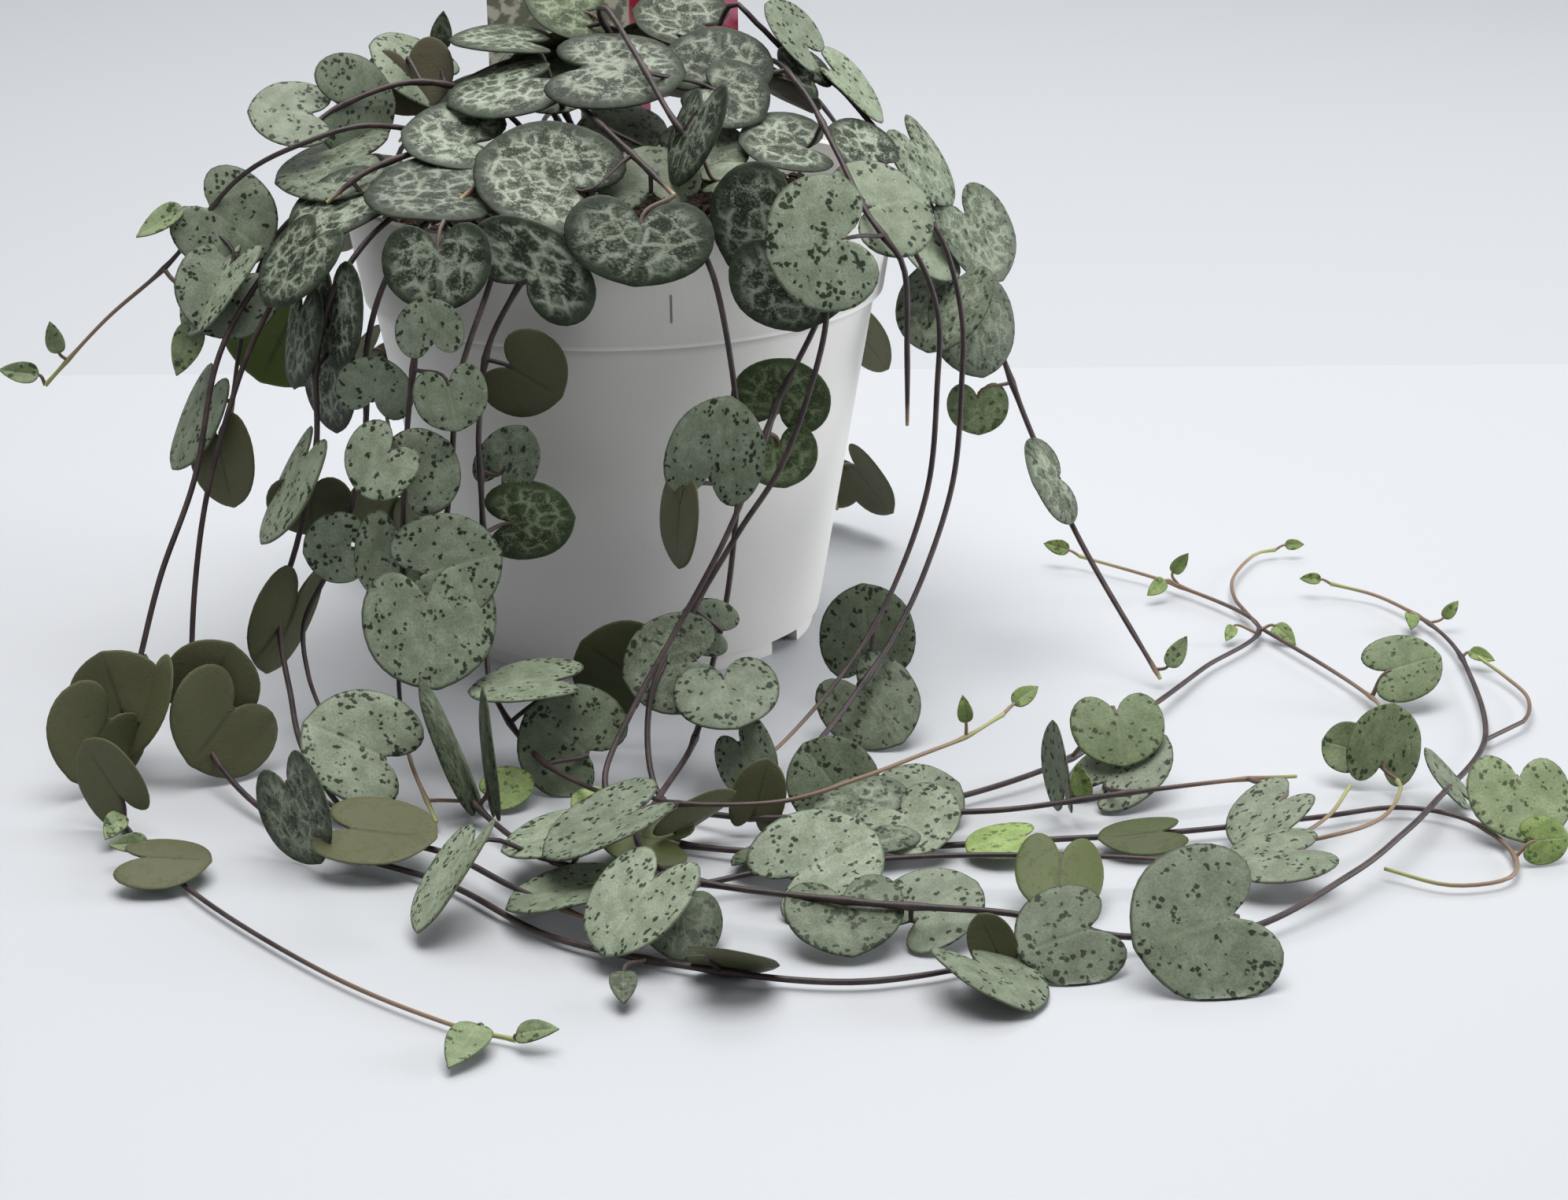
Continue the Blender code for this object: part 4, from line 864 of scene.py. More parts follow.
def spray(name, node, routes, leaves, look, young=YOUNG_LENGTH):
    """One stem or several with their leaves, as one piece that stands for a solid."""
    rng = random.Random(name)
    points = []
    rows = []
    edges = []

    def chain(places, values):
        """Adds a line of points, each with its values."""
        first = len(points)
        points.extend(place * MM for place in places)
        rows.extend(values)
        edges.extend((i, i + 1) for i in range(first, len(points) - 1))

    stems = [smooth_route(route, FINE_STEP) for route in routes]
    spots = [(place, i, j) for i, stem in enumerate(stems) for j, place in enumerate(stem)]
    swell = {}
    stalks = []
    for base, tip, face, outline, width, own in leaves:
        start, length, along, normal = blade_frame(base, tip, face, outline)
        root, i, j = min(spots, key=lambda entry: (entry[0] - start).length)
        swell[i, j] = NODE_SWELL[0]
        for near in (j - 1, j + 1):
            swell.setdefault((i, near), NODE_SWELL[1])
        # The look's lightness is partly painted shade and painted light for where the leaf lies.
        marble, fresh, warm, light = own or (SHOOT if width == 0.0 else look)
        marble = min(1.0, max(0.0, marble + rng.uniform(-0.10, 0.10)))
        reach = (root - start).length
        way = [root, root.lerp(start, 0.4), start - 0.35 * reach * along, start + 0.05 * length * along]
        stalk = []
        for step in range(STALK_STEPS + 1):
            t = step / STALK_STEPS
            weights = ((1 - t) ** 3, 3 * t * (1 - t) ** 2, 3 * t * t * (1 - t), t**3)
            stalk.append(sum((w * p for w, p in zip(weights, way)), Vector()))
        left = (len(stems[i]) - j) * FINE_STEP
        age = max(0.12 * rng.random(), min(STALK_AGE, 1.0 - left / young), 0.9 * fresh)
        stalks.append((stalk, age, length))
        across = length * (width if width else 1.0)
        if width:
            form = rng.randrange(len(HEART_FORMS))
        else:
            form = len(HEART_FORMS) + rng.randrange(len(SLIM_FORMS))
        values = {
            "is_leaf": True,
            "along": along,
            "facing": normal,
            "scale": Vector((across, length, max(length, LEAST_RELIEF))) * MM,
            "form": form,
            "blade": (length, marble, rng.random()),
            "tone": (fresh, light + rng.uniform(-TONE_SPREAD, TONE_SPREAD), warm * rng.random()),
        }
        points.append(start * MM)
        rows.append(values)
    for i, stem in enumerate(stems):
        total = len(stem)
        values = []
        for j in range(total):
            left = (total - 1 - j) * FINE_STEP
            taper = TIP_THINNESS + (1.0 - TIP_THINNESS) * min(1.0, left / (2.0 * young))
            radius = STEM_RADIUS * taper * swell.get((i, j), 1.0)
            values.append({"radius": radius * MM, "age": max(0.0, 1.0 - left / young)})
        chain(stem, values)
    for stalk, age, length in stalks:
        thick = STALK_RADIUS * min(1.0, 0.5 + length / 20.0)
        radii = [thick * (1.1 - 0.2 * k / STALK_STEPS) for k in range(len(stalk))]
        chain(stalk, [{"radius": radius * MM, "age": age} for radius in radii])
    mesh = bpy.data.meshes.new("skeleton")
    mesh.from_pydata(points, edges, [])
    for label, (kind, key, default) in FIELDS.items():
        values = [row.get(label, default) for row in rows]
        if key == "vector":
            values = [part for value in values for part in value]
        mesh.attributes.new(label, kind, "POINT").data.foreach_set(key, values)
    maker = placed("skeleton", mesh)
    run_tree(maker, spray_tree, {"Stem sides": STEM_SIDES, "Lowest": LOWEST * MM})
    piece = placed(name, finished(maker))
    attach(piece, "root")
    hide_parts(node)


def strand(node, routes, leaves, young=YOUNG_LENGTH):
    """A trailing strand, whose hearts are speckled unless they have a look of their own."""
    spray(f"{node}_leaves", node, routes, leaves, SPECKLED, young)


def stem(root, *rest, rise=STRAND_RISE):
    """A stem's route: straight up from its root in the potting mix, then from point to point."""
    return [(*root, ROOT_HEIGHT), (*root, rise), *rest]


# Crown: the dense tuft over the pot, whose short stems rise from the potting mix and carry
# overlapping leaves. One hangs at the right front, and one arches down to the surface on the right.
CROWN_YOUNG = 5.0
CROWN_RISE = 84
CROWN_STEMS = (
    ((-6, -4), (-10, -12, 98), (-14, -28, 102), (-22, -40, 98), (-28, -46, 94)),
    ((-3, 5), (-10, 0, 100), (-11, -14, 108), (-8, -25, 107), (1, -40, 101), (9, -52, 95)),
    ((4, 5), (3, 9, 104), (-3, 6, 117), (-2, -4, 120), (0, -11, 118.5), (2, -18, 116), (5, -27, 112),
     (9, -37, 106), (14, -42, 100)),
    ((11, 2), (18, 4, 97), (27, 0, 109), (33, -18, 107), (38, -36, 99), (42, -47, 91), (45, -52, 87),
     (48.5, -54, 81), (49, -53, 66), (49, -53, 53)),
    ((13, 8), (16, 6, 104), (21, 2, 119), (26, 0, 116), (32, 0, 110), (40, 0, 105), (50, 0, 93),
     (57, 0, 83), (64, -2, 72), (68, -6, 64), (71, -10, 54), (76, -18, 40), (84, -29, 22), (96, -49, 2)),
    ((-11, 1), (-17, 0, 96), (-26, -5, 105), (-38, -8, 108), (-50, -12, 105), (-57, -16, 101)),
    ((-9, -8), (-17, -16, 94), (-32, -26, 99), (-44, -32, 97), (-52, -36, 92)),
    ((-8, 8), (-14, 14, 100), (-24, 22, 104), (-35, 32, 99), (-44, 40, 88)),
    ((2, 12), (3, 19, 102), (5, 29, 106), (8, 37, 103)),
    ((9, 10), (17, 16, 100), (27, 22, 104), (37, 30, 98), (46, 37, 86)),
)
CROWN_BLADES = [
    # Over the front of the collar
    heart((3, -57, 92), (1.5, -63, 82), (0, -1, 0.7), 1.35),
    heart((-8, -46, 95), (-25, -40, 100.5), (0, -0.82, 1), 0.8),
    heart((-31.5, -60, 89), (-31.5, -64, 78.5), (-0.2, -1, 0.4), 1.05),
    heart((-28, -43, 94.5), (-45, -41, 95), (0, -0.25, 1), 0.95),
    heart((-26, -26, 100), (-39, -24, 102), (0, -0.4, 1)),
    heart((37.5, -62, 89), (24, -65, 87), (0, -1, 0.3), 1.05, look=SPECKLED),
    heart((43, -45, 90.5), (54, -40, 91), (0.2, -0.6, 0.8), 1.15, look=SPECKLED),
    heart((33, -28, 98), (21, -30, 99.5), (0, -0.4, 1)),
    heart((47, -15, 93), (38, -14, 99), (0.3, -0.4, 1)),
    heart((14, -41, 107.5), (9.5, -46, 95.5), (-0.9, -0.35, 0.3), 0.9),
    heart((17, -20, 107.5), (26, -24, 103), (0, -0.6, 1)),
    # Left side
    heart((-51, -12, 105), (-41, -6, 104), (0, -1, 0.3), look=SPECKLED),
    heart((-56, -15, 104), (-67, -16, 105), (-0.2, -0.6, 1), look=SPECKLED),
    heart((-46, -21, 97), (-62, -24, 93), (0, -0.2, 1), look=MIXED),
    heart((-46, -34, 92.5), (-59, -37, 86.5), (-0.4, -0.5, 1), 0.8),
    # Top of the crown
    heart((-34, 6, 107), (-46, 4, 113), (0, -0.4, 1), look=SPECKLED),
    heart((-39, 2, 110), (-37, -3, 101), (0, 1, 0.4), look=DUSKY),
    slim((-33, 4, 112), (-32, 4, 119), (0, -1, 0), look=SHADED),
    heart((-17, 0, 113.5), (-31, 0, 114.5), (0, -0.1, 1), 0.85, look=MIXED),
    heart((-16, -14, 109), (-31, -18, 105.5), (0, -0.18, 1), 0.95),
    heart((-6, 12, 117), (-17, 10, 120), (0, -0.6, 1), look=GREEN_NET),
    heart((-6, -20, 112), (12, -23, 111), (0, -0.42, 1), 0.85),
    heart((16, 11, 114), (3, 12, 117), (0, -0.4, 1)),
    heart((18, -13, 109), (19, -5, 116.5), (0, -0.9, 0.9), 1.15),
    heart((36, -5, 106), (30, -3, 112), (0.2, -0.5, 0.9), 0.7),
    # Along the arch on the right
    heart((35, -2, 112), (27.5, -3, 120), (0.6, -0.42, 0.66), 0.85, look=SPECKLED),
    heart((41, 2, 106), (50, 3, 97), (0.7, -0.2, 0.8), look=SPECKLED),
    heart((55, 0, 93), (62.5, -2, 81.5), (0.8, -0.4, 0.5), 0.9, look=MIXED),
    heart((65, -1, 79), (72, -4, 67), (0.8, -0.6, 0.2), look=MIXED),
    heart((59, -8, 75), (51, -14, 77), (0.2, -0.7, 0.8), look=SPECKLED),
    heart((65, -11, 64), (67, -15, 51), (0.5, -1, 0.2), 0.85, look=MIXED),
    heart((61, -12, 68), (56, -18, 57), (-0.7, -0.7, 0.2), look=MIXED),
    heart((66, -14, 47), (66, -16, 40), (0, -1, 0), look=FRESH_NET),
    heart((80, -26, 34), (74, -35, 36), (0.7, -0.4, 0.5), look=MIXED),
    slim((97.5, -48, 4), (101, -46, 9), (0, -1, 0.2)),
    # In the shade inside the crown
    heart((5, -43, 94), (4, -35, 100.5), (0, -1, 0.8), 1.1, look=SHADED),
    heart((4, -27, 98), (-9, -28, 100), (0, -0.7, 1), 1.1, look=SHADED),
    heart((12, -29, 97), (23, -27, 99), (0, -0.5, 1), look=SHADED),
    heart((17, -41, 95), (27, -40, 95.5), (0, -0.2, 1), 0.8, look=SHADED),
    heart((-10, 7, 106), (-23, 7, 107), (0, -0.5, 1), 1.1, look=SHADED),
]
BACK_TIERS = ((15.0, 113.0, 3), (26.0, 107.0, 4), (34.0, 101.0, 4))
BACK_ARC = (22.0, 158.0)
BACK_CROWN_REACH = 11.0
BACK_CROWN_FALL = 6.0


def back_crown(rng):
    """Leaves laid like tiles over the back half of the crown."""
    leaves = []
    first, last = BACK_ARC
    for radius, height, count in BACK_TIERS:
        for i in range(count):
            angle = first + (last - first) * (i + 0.5) / count + rng.uniform(-4.0, 4.0)
            base = around(angle, radius, height + rng.uniform(-1.0, 1.0))
            turned_angle = angle + rng.uniform(-6.0, 6.0)
            tip = around(turned_angle, radius + BACK_CROWN_REACH, height - BACK_CROWN_FALL)
            leaves.append(heart(base, tip, around(angle, 0.6, 1.0)))
    return leaves


back_rng = random.Random(7)
crown_leaves = CROWN_BLADES + back_crown(back_rng)
crown_routes = [stem(*way, rise=CROWN_RISE) for way in CROWN_STEMS]
spray("crown_leaves", "crown", crown_routes, crown_leaves, MARBLED, young=CROWN_YOUNG)

# Left strands: stems that leave the rim on the left. One young shoot reaches out with small leaves
# at its end, and the others hang down or run on over the surface towards the front.
strand("far_left_shoot", [
    stem((-20, -9), (-28, -13, 96), (-43, -23, 103), (-56, -27, 101), (-69, -25, 94), (-82, -22, 79),
         (-95, -20, 68), (-107, -20, 56)),
], [
    heart((-74, -24, 89), (-64, -27, 81), (0, -1, 0.4), 0.9),
    slim((-79, -23, 89), (-87, -25, 84), (0, -0.6, 1)),
    heart((-70, -29, 80), (-79, -33, 68), (-0.7, -0.5, 0.5), 0.65, look=PLAIN),
    heart((-70, -29, 77), (-76, -35, 69), (0, -1, 0.2), look=PLAIN),
    slim((-77, -32, 70), (-81, -34, 61), (-0.3, -1, 0)),
    slim((-108, -20, 58), (-115, -20, 59), (0, -1, 0.5)),
    slim((-104, -20, 62), (-105, -20, 68), (0, -1, 0)),
], young=45.0)
strand("left_outer", [
    stem((-31, -15), (-40, -19, 91), (-50, -24, 90), (-59, -29, 84), (-67, -34, 75), (-73, -40, 64),
         (-77, -49, 46), (-83, -58, 31), (-87, -66, 17), (-90, -76, 6), (-89, -90, 1.5),
         (-83, -106, 1.3), (-68, -132, 1.3), (-47, -159, 1.3), (-29, -176, 1.3), (-19, -182, 1.3)),
], [
    heart((-91, -78, 11), (-97, -85, 3), (-0.3, 1, 0.2)),
    heart((-84.5, -70, 16), (-88, -76, 4), (0.8, 0.5, 0.2)),
    heart((-89, -74, 12), (-92, -71, 22), (0, 1, 0)),
    heart((-86, -99, 4), (-92, -95, 13), (0.6, 0.7, -0.3), 0.7),
    heart((-80, -119, 4), (-69, -120, 3.5), (0, 0.1, -1), 0.9),
    slim((-80, -113, 4), (-86, -114, 4), (0, -1, 1)),
    slim((-86, -101, 4), (-88, -107, 2), (0, -1, 0.3)),
    slim((-24, -180, 3), (-28, -190, 2), (0, -0.5, 1)),
    slim((-19, -182, 2), (-13, -184, 4), (0, -0.6, 1)),
], young=60.0)
strand("left_inner", [
    stem((-27, -19), (-37, -26, 91), (-47, -33, 90), (-57, -39, 83), (-63, -43, 74), (-68, -47, 64),
         (-74, -53, 46), (-77, -58, 30), (-78, -64, 15), (-76, -73, 8), (-70, -86, 4), (-61, -100, 2),
         (-50, -113, 1.5), (-31, -128, 1.5), (-14, -149, 1.5), (9, -162, 1.5), (30, -168, 1.5),
         (49, -164, 1.5), (60, -158, 2)),
], [
    heart((-70, -74, 11), (-77, -82, 4), (0.2, 1, 0.3)),
    heart((-54.5, -45, 87), (-62.5, -49, 77), (-0.8, -0.6, 0.6), 0.9, look=MARBLED),
    heart((-75, -71, 13), (-70, -69, 22), (0, 1, 0)),
    slim((-3.5, -166, 3.5), (-3.5, -173, 1.5), (0, -0.5, 1), look=SHADED),
    heart((9.5, -166, 5.5), (19.5, -167, 4), (0, 0.6, 0.8)),
    heart((48.5, -168, 4), (55.5, -179, 1.5), (0.3, 0, 0.9), 0.8),
    heart((52, -164, 3.5), (49.5, -162, 9), (0, 1, 0), 0.7),
], young=14.0)
strand("left_short", [
    stem((-33, -10), (-43, -13, 91), (-53, -17, 90), (-62, -22, 84), (-67, -26, 75), (-70, -29, 64),
         (-72, -32, 53)),
], [
    heart((-61, -18, 68), (-68, -18, 55), (0, 1, 0), look=GREEN),
    heart((-76, -31, 56), (-83, -33, 43), (-0.9, -0.4, 0.3), 0.75),
    heart((-74, -35, 49), (-72, -38, 37), (0.5, 0.7, -0.2), 0.75),
], young=12.0)
strand("left_curtain", [
    stem((-24, -24), (-33, -33, 91), (-42, -42, 89), (-50, -49, 80), (-54, -51, 68), (-55, -52, 52),
         (-59, -52, 36), (-63, -54, 24), (-63, -57, 18), (-61, -66, 12), (-57, -84, 7),
         (-46, -108, 3.5), (-31, -122, 4), (-20, -136, 4), (-7, -150, 4)),
], [
    heart((-51, -47, 79), (-51, -50, 65), (-1, -0.5, 0.1), look=MARBLED),
    heart((-52, -44, 66), (-52, -47, 53), (-1, -0.6, 0), look=MARBLED),
    heart((-57, -43, 74), (-59, -46, 61), (-1, -0.4, 0), look=MARBLED),
    heart((-57, -54, 50), (-65, -57, 36), (-0.9, -0.3, 0.5), 0.7),
    heart((-57, -50, 43), (-57, -47, 34), (0, 1, 0.2)),
    heart((-60, -53, 25), (-66, -55, 11), (-0.8, 0.6, 0.3), 0.75),
    heart((-57, -112, 12.5), (-52, -118, 1.5), (-0.8, -0.4, 0.5), 0.8, look=MIXED),
    heart((-47, -115.5, 6), (-33, -119.5, 5.5), (0, 0.25, -1), 0.75),
    heart((-8, -139.5, 5.5), (-21.5, -141.5, 3.5), (0, 0.1, 1), 0.85, look=PLAIN),
], young=14.0)
strand("left_curtain_front", [
    stem((-20, -28), (-27, -37, 91), (-34, -45, 90), (-41, -52, 82), (-45, -54, 70), (-46, -54, 56),
         (-49, -54, 42), (-54, -54, 30), (-59, -54, 20), (-58, -62, 13), (-54, -76, 9), (-50, -92, 4)),
], [
    heart((-50, -56, 35), (-58, -57, 34), (0, -1, 0), look=SPECKLED_PAINTED_LIGHT),
    heart((-44, -58, 62), (-42, -60, 70), (0, -1, 0.3), look=SPECKLED_PAINTED_LIGHT),
    heart((-43, -94, 10), (-56, -92, 16), (0, -0.8, 0.9), 0.88, look=SPECKLED_PAINTED_LIGHT),
])
# Front strands: stems that fall over the front of the pot and turn to the right on the surface,
# where they cross each other under their leaves.
strand("front_left", [
    stem((-16, -31), (-22, -42, 91), (-28, -51, 90), (-34, -59, 80), (-37, -62, 66), (-39, -64, 50),
         (-40, -66, 35), (-41, -70, 24), (-41, -77, 14), (-39, -88, 7), (-34, -104, 2)),
], [
    heart((-33, -66, 74), (-34, -68, 82), (0, -1, 0.3), 0.87, look=SPECKLED_PAINTED_LIGHT),
    heart((-30.5, -67.5, 67), (-29, -69, 59), (0, -1, 0.2), 0.95, look=SPECKLED_PAINTED_LIGHT),
    heart((-41, -66, 55), (-47, -67, 48), (0, -0.8, 1), look=SPECKLED_PAINTED_LIGHT),
    heart((-38, -66, 49.5), (-31, -66.5, 56.5), (0, -1, 0.5), 0.95, look=SPECKLED_PAINTED_LIGHT),
    heart((-41, -63, 38), (-44, -65, 27), (-0.6, -0.8, 0), look=SPECKLED_PAINTED_LIGHT),
    heart((-24, -94, 1.5), (-18.5, -91, 3.5), (0, -0.6, 0.9), 0.8, look=GREEN),
])
strand("front_left_long", [
    stem((-11, -32), (-16, -43, 89.5), (-20, -52, 88.8), (-24, -55, 79), (-29, -63, 66),
         (-31, -64, 50), (-33, -66, 38), (-37, -71, 26), (-37, -78, 15), (-33, -90, 7), (-25, -106, 3),
         (-13, -124, 2.5), (4, -134, 2.5), (22, -132, 4), (46, -135, 6.5), (69, -137, 6.5),
         (88, -137, 5), (100, -131, 4), (111, -120, 4), (118, -107, 4)),
    [(100, -131, 4), (108, -131, 5.5), (116, -126, 5), (122, -118, 4), (126, -109, 4), (127, -103, 3)],
], [
    heart((-36, -73, 35), (-22.5, -73.5, 38.5), (0, -1, 0.4), 0.84, look=PLAIN),
    heart((-35.5, -76, 31.5), (-34, -83, 17.5), (0, -1, 0.6), 0.9),
    heart((-29, -98, 4), (-36, -92, 20), (1, -0.2, 0.3), 0.34, look=SHADED),
    heart((-25, -102, 4), (-26, -98, 20), (-1, -0.2, 0.2), 0.34, look=SHADED),
    heart((-9, -123.5, 8), (-22.5, -125.5, 6), (0, 0.05, 1), 0.85, look=PLAIN),
    heart((-27, -136, 10.5), (-34.5, -148, 2.5), (-0.75, -0.3, 0.7), 0.45, look=PLAIN),
    heart((23.5, -138, 3.5), (37, -131, 7.5), (-0.1, -0.8, 0.9), 0.75, look=PLAIN),
    heart((65, -139, 7.5), (63, -150, 2.5), (0, 0.8, -0.8), 0.7, look=GREEN_UNDER),
    heart((103.5, -136.5, 6), (91, -139.5, 4.5), (0, -0.15, 1), 0.7),
    heart((125, -100, 4), (127, -98, 14), (0, -1, 0.3), 0.75, look=FRESH_SPOTTED),
    heart((121, -96, 6), (116, -94, 7), (0, -1, 0.5), look=FRESH_SPOTTED),
], young=70.0)
strand("front_left_shoot", [
    stem((-5, -33), (-10, -44, 89.5), (-13, -52, 89.3), (-18, -54, 81), (-24, -56, 70), (-26, -61, 57),
         (-26, -63, 48), (-26, -64, 35), (-26, -68, 22), (-25, -76, 14), (-17, -90, 7),
         (-6, -105, 6.5), (0, -113, 9.5), (6, -121, 11), (22, -124, 12), (35, -118, 13),
         (46, -111, 14), (54, -104, 14), (61, -97, 15)),
], [
    heart((-17, -57.5, 82), (-11, -56.5, 90), (-0.1, -1, 0.2), 1.5, look=MARBLED),
    heart((-20, -58, 67), (-11.5, -58, 61.5), (0, 1, 0.1), look=MARBLED),
    heart((-22.5, -59, 48.5), (-18, -60, 57), (0, -1, 0), 0.7, look=MIXED),
    heart((-21.5, -60, 39.5), (-10, -61, 40.5), (0, -1, 0), 0.78, look=GREEN_NET),
    heart((-14.5, -82, 18), (-29, -81, 16.5), (0, 0, 1), 0.85),
    heart((-9, -88, 5), (-19, -86, 12), (0, -1, 0.4), look=SPOTTED),
    heart((-1, -132, 14.5), (-15.5, -136, 9), (0, 0.05, 1), 0.8, look=PLAIN),
    slim((54, -104, 16.5), (53.5, -103.5, 21), (0, -1, 0), look=GREEN),
    slim((63, -95, 16), (67.5, -92, 18), (0, -1, 1), look=GREEN),
], young=75.0)
strand("centre_front", [
    stem((3, -34), (7, -44, 91), (10, -53, 91), (15, -60, 83), (18, -61, 66), (19, -62, 50),
         (18, -62, 39), (16, -64, 25), (12, -70, 11), (9, -86, 7), (3, -107, 6.5), (-1, -125, 7),
         (6, -141, 7), (32, -152, 7), (55, -156, 6), (71, -159, 3), (91, -157, 2.5), (110, -143, 4.5),
         (121, -130, 5), (130, -116, 4.5), (147, -84, 2), (153, -50, 2), (153, -28, 2), (147, -9, 2),
         (138, -2, 3)),
    [(147, -84, 2), (156, -76, 2), (160, -65, 2), (159, -54, 2), (156, -46, 3)],
], [
    heart((13.5, -72.5, 51), (17, -74, 65), (0, -1, 0.1), 0.72, look=SPECKLED),
    heart((8.5, -74, 47), (7.5, -76, 35.5), (0.9, 0.4, 0), 0.8),
    heart((14.5, -86, 19), (16.5, -95.5, 13.5), (0, -0.8, 0.8)),
    heart((1.5, -150, 11), (-6.5, -160, 3.5), (-0.5, -0.75, 0.8), 0.68, look=PLAIN),
    heart((5.5, -150, 7), (4, -158, 1.5), (0.4, -0.7, 0.8), 0.9, look=SHADED),
    heart((30, -149, 6.5), (31, -160, 2), (0, -0.8, 0.8), 0.95, look=SHADED),
    heart((41, -151.5, 3), (51, -146, 7), (-0.2, -0.5, 1), 0.8, look=PLAIN),
    heart((66, -162, 5), (55, -165.5, 3), (-0.1, -0.7, 0.8), 0.9, look=SPOTTED),
    heart((86.5, -167, 8), (71.5, -170, 5), (0, -0.73, 0.68)),
    heart((136, -109, 3), (131, -104, 9), (0.8, -0.6, 0.3), 0.45),
    slim((149.5, -21, 3), (148.5, -26, 2), (0, -1, 0.5), look=GREEN),
    slim((155, -43, 3), (159, -46, 2), (0, -1, 1), look=GREEN),
    slim((155, -24, 3), (158, -23, 6), (0, -1, 0.5), look=GREEN),
    slim((136, -2, 4), (132, -1, 4), (0, -1, 0.5), look=GREEN),
], young=45.0)
# Centre and right strands: stems from the middle and the right of the rim, which sweep over the
# surface to the far right and branch there into thin young shoots.
strand("centre_right", [
    stem((10, -32), (17, -42, 91), (24, -50, 91), (33, -58, 84), (34, -62, 73), (27, -65, 52),
         (18, -69, 39), (9, -75, 26), (2, -85, 15), (3, -98, 3), (14, -108, 3), (30, -112, 4),
         (45, -113, 4.5), (60, -114, 5), (80, -109, 5), (99, -105, 5), (110, -102, 4)),
], [
    heart((28.5, -59.5, 85), (29.5, -62, 73), (0, -1, 0.2), 1.1, look=MARBLED),
    heart((28, -52, 91), (18, -54, 83), (0, -1, 0.35), 1.15, look=MARBLED),
    heart((10, -80, 20), (-2.5, -81, 18), (0, -1, 0.7), 0.88, look=MIXED),
    heart((14.5, -71, 22), (7.5, -72, 25.5), (0, -1, 0.2), 0.8),
    heart((-0.5, -72, 14.5), (-9.5, -72, 21.5), (0, 1, 0.1), look=SHADED),
    heart((18.5, -110, 3), (21, -108, 11.5), (0, 1, 0), 0.62),
    heart((40, -116, 5.5), (27, -117, 4.5), (0, -0.25, 1), look=MIXED),
    heart((43.5, -107, 3.5), (53, -103, 5.5), (0, -0.5, 1), 0.95),
    heart((42, -116, 6), (47, -125, 3), (0, -0.6, 1)),
    heart((33, -107, 4), (27, -104, 12), (0, -1, 0.3), 0.9, look=SPOTTED),
    heart((104, -119, 7), (95, -124, 2), (-0.6, -0.5, 0.8), 0.65),
    heart((78, -101, 3), (89, -95, 8.5), (-0.3, -0.5, 0.8), 0.65),
    heart((70, -107, 4), (68.5, -104, 15), (-0.9, -0.3, 0.1), 0.5),
    slim((73, -109, 4), (72, -107.5, 10), (0, -1, 0.2), look=GREEN),
])
strand("centre_back", [
    stem((16, -29), (24, -37, 91), (32, -44, 90), (37, -51, 83), (33, -56, 73), (26, -59, 60),
         (21, -66, 49), (15, -73, 38), (7, -80, 26), (-1, -89, 15), (-6, -99, 6), (0, -112, 2),
         (20, -121, 2), (45, -121, 2), (66, -120, 2), (85, -119, 2), (110, -115, 2), (125, -112, 2),
         (135, -118, 2), (139, -130, 1.5), (136, -140, 1.5), (126, -142, 1.5), (117, -136, 2)),
], [
    heart((26, -57, 57.5), (28.5, -58, 67), (0, -1, 0), 1.1, look=FRESH_NET),
    heart((26, -58, 52), (27, -59, 44), (0, -1, 0), look=FRESH_NET),
    heart((5.5, -116.5, 4.5), (15.5, -112.5, 9), (0, 0.72, 0.69), 0.6),
    heart((61.5, -120.5, 3), (52, -124, 2.5), (0, -0.05, 1), 0.75, look=GREEN),
    heart((84, -121, 3), (73.5, -122, 2.5), (0, 0.1, -1), 0.7, look=GREEN_UNDER),
    heart((-6, -102, 2.5), (-11.5, -99.5, 4), (0, -0.6, 0.9), 0.8, look=GREEN),
    heart((24, -124, 4), (14, -127, 3), (0, 0.3, 1), 0.9, look=SHADED),
    heart((4, -118, 3), (-7, -116, 4), (0, 0.3, -1), 0.8, look=GREEN_UNDER),
    heart((143, -118, 9), (142, -127, 1.5), (0, -0.8, 0.7), 0.9, look=FRESH_SPOTTED),
    heart((142, -132, 3), (148, -131, 3), (0, -0.9, 0.5), 0.8, look=GREEN),
], young=60.0)
strand("right_front", [
    stem((22, -25), (32, -33, 90), (41, -41, 90), (50, -46, 84), (55, -46, 72), (55, -46, 58),
         (53, -49, 40), (46, -57, 24), (37, -67, 13), (24, -83, 5), (15, -91, 2.5)),
], [
    heart((42, -53, 10.5), (41, -51, 23), (0, -1, 0.2), 0.85, look=SPOTTED),
    heart((17, -92, 8.3), (21.5, -99.5, 1.5), (-0.8, -0.5, 0.4), 0.75, look=PLAIN),
])
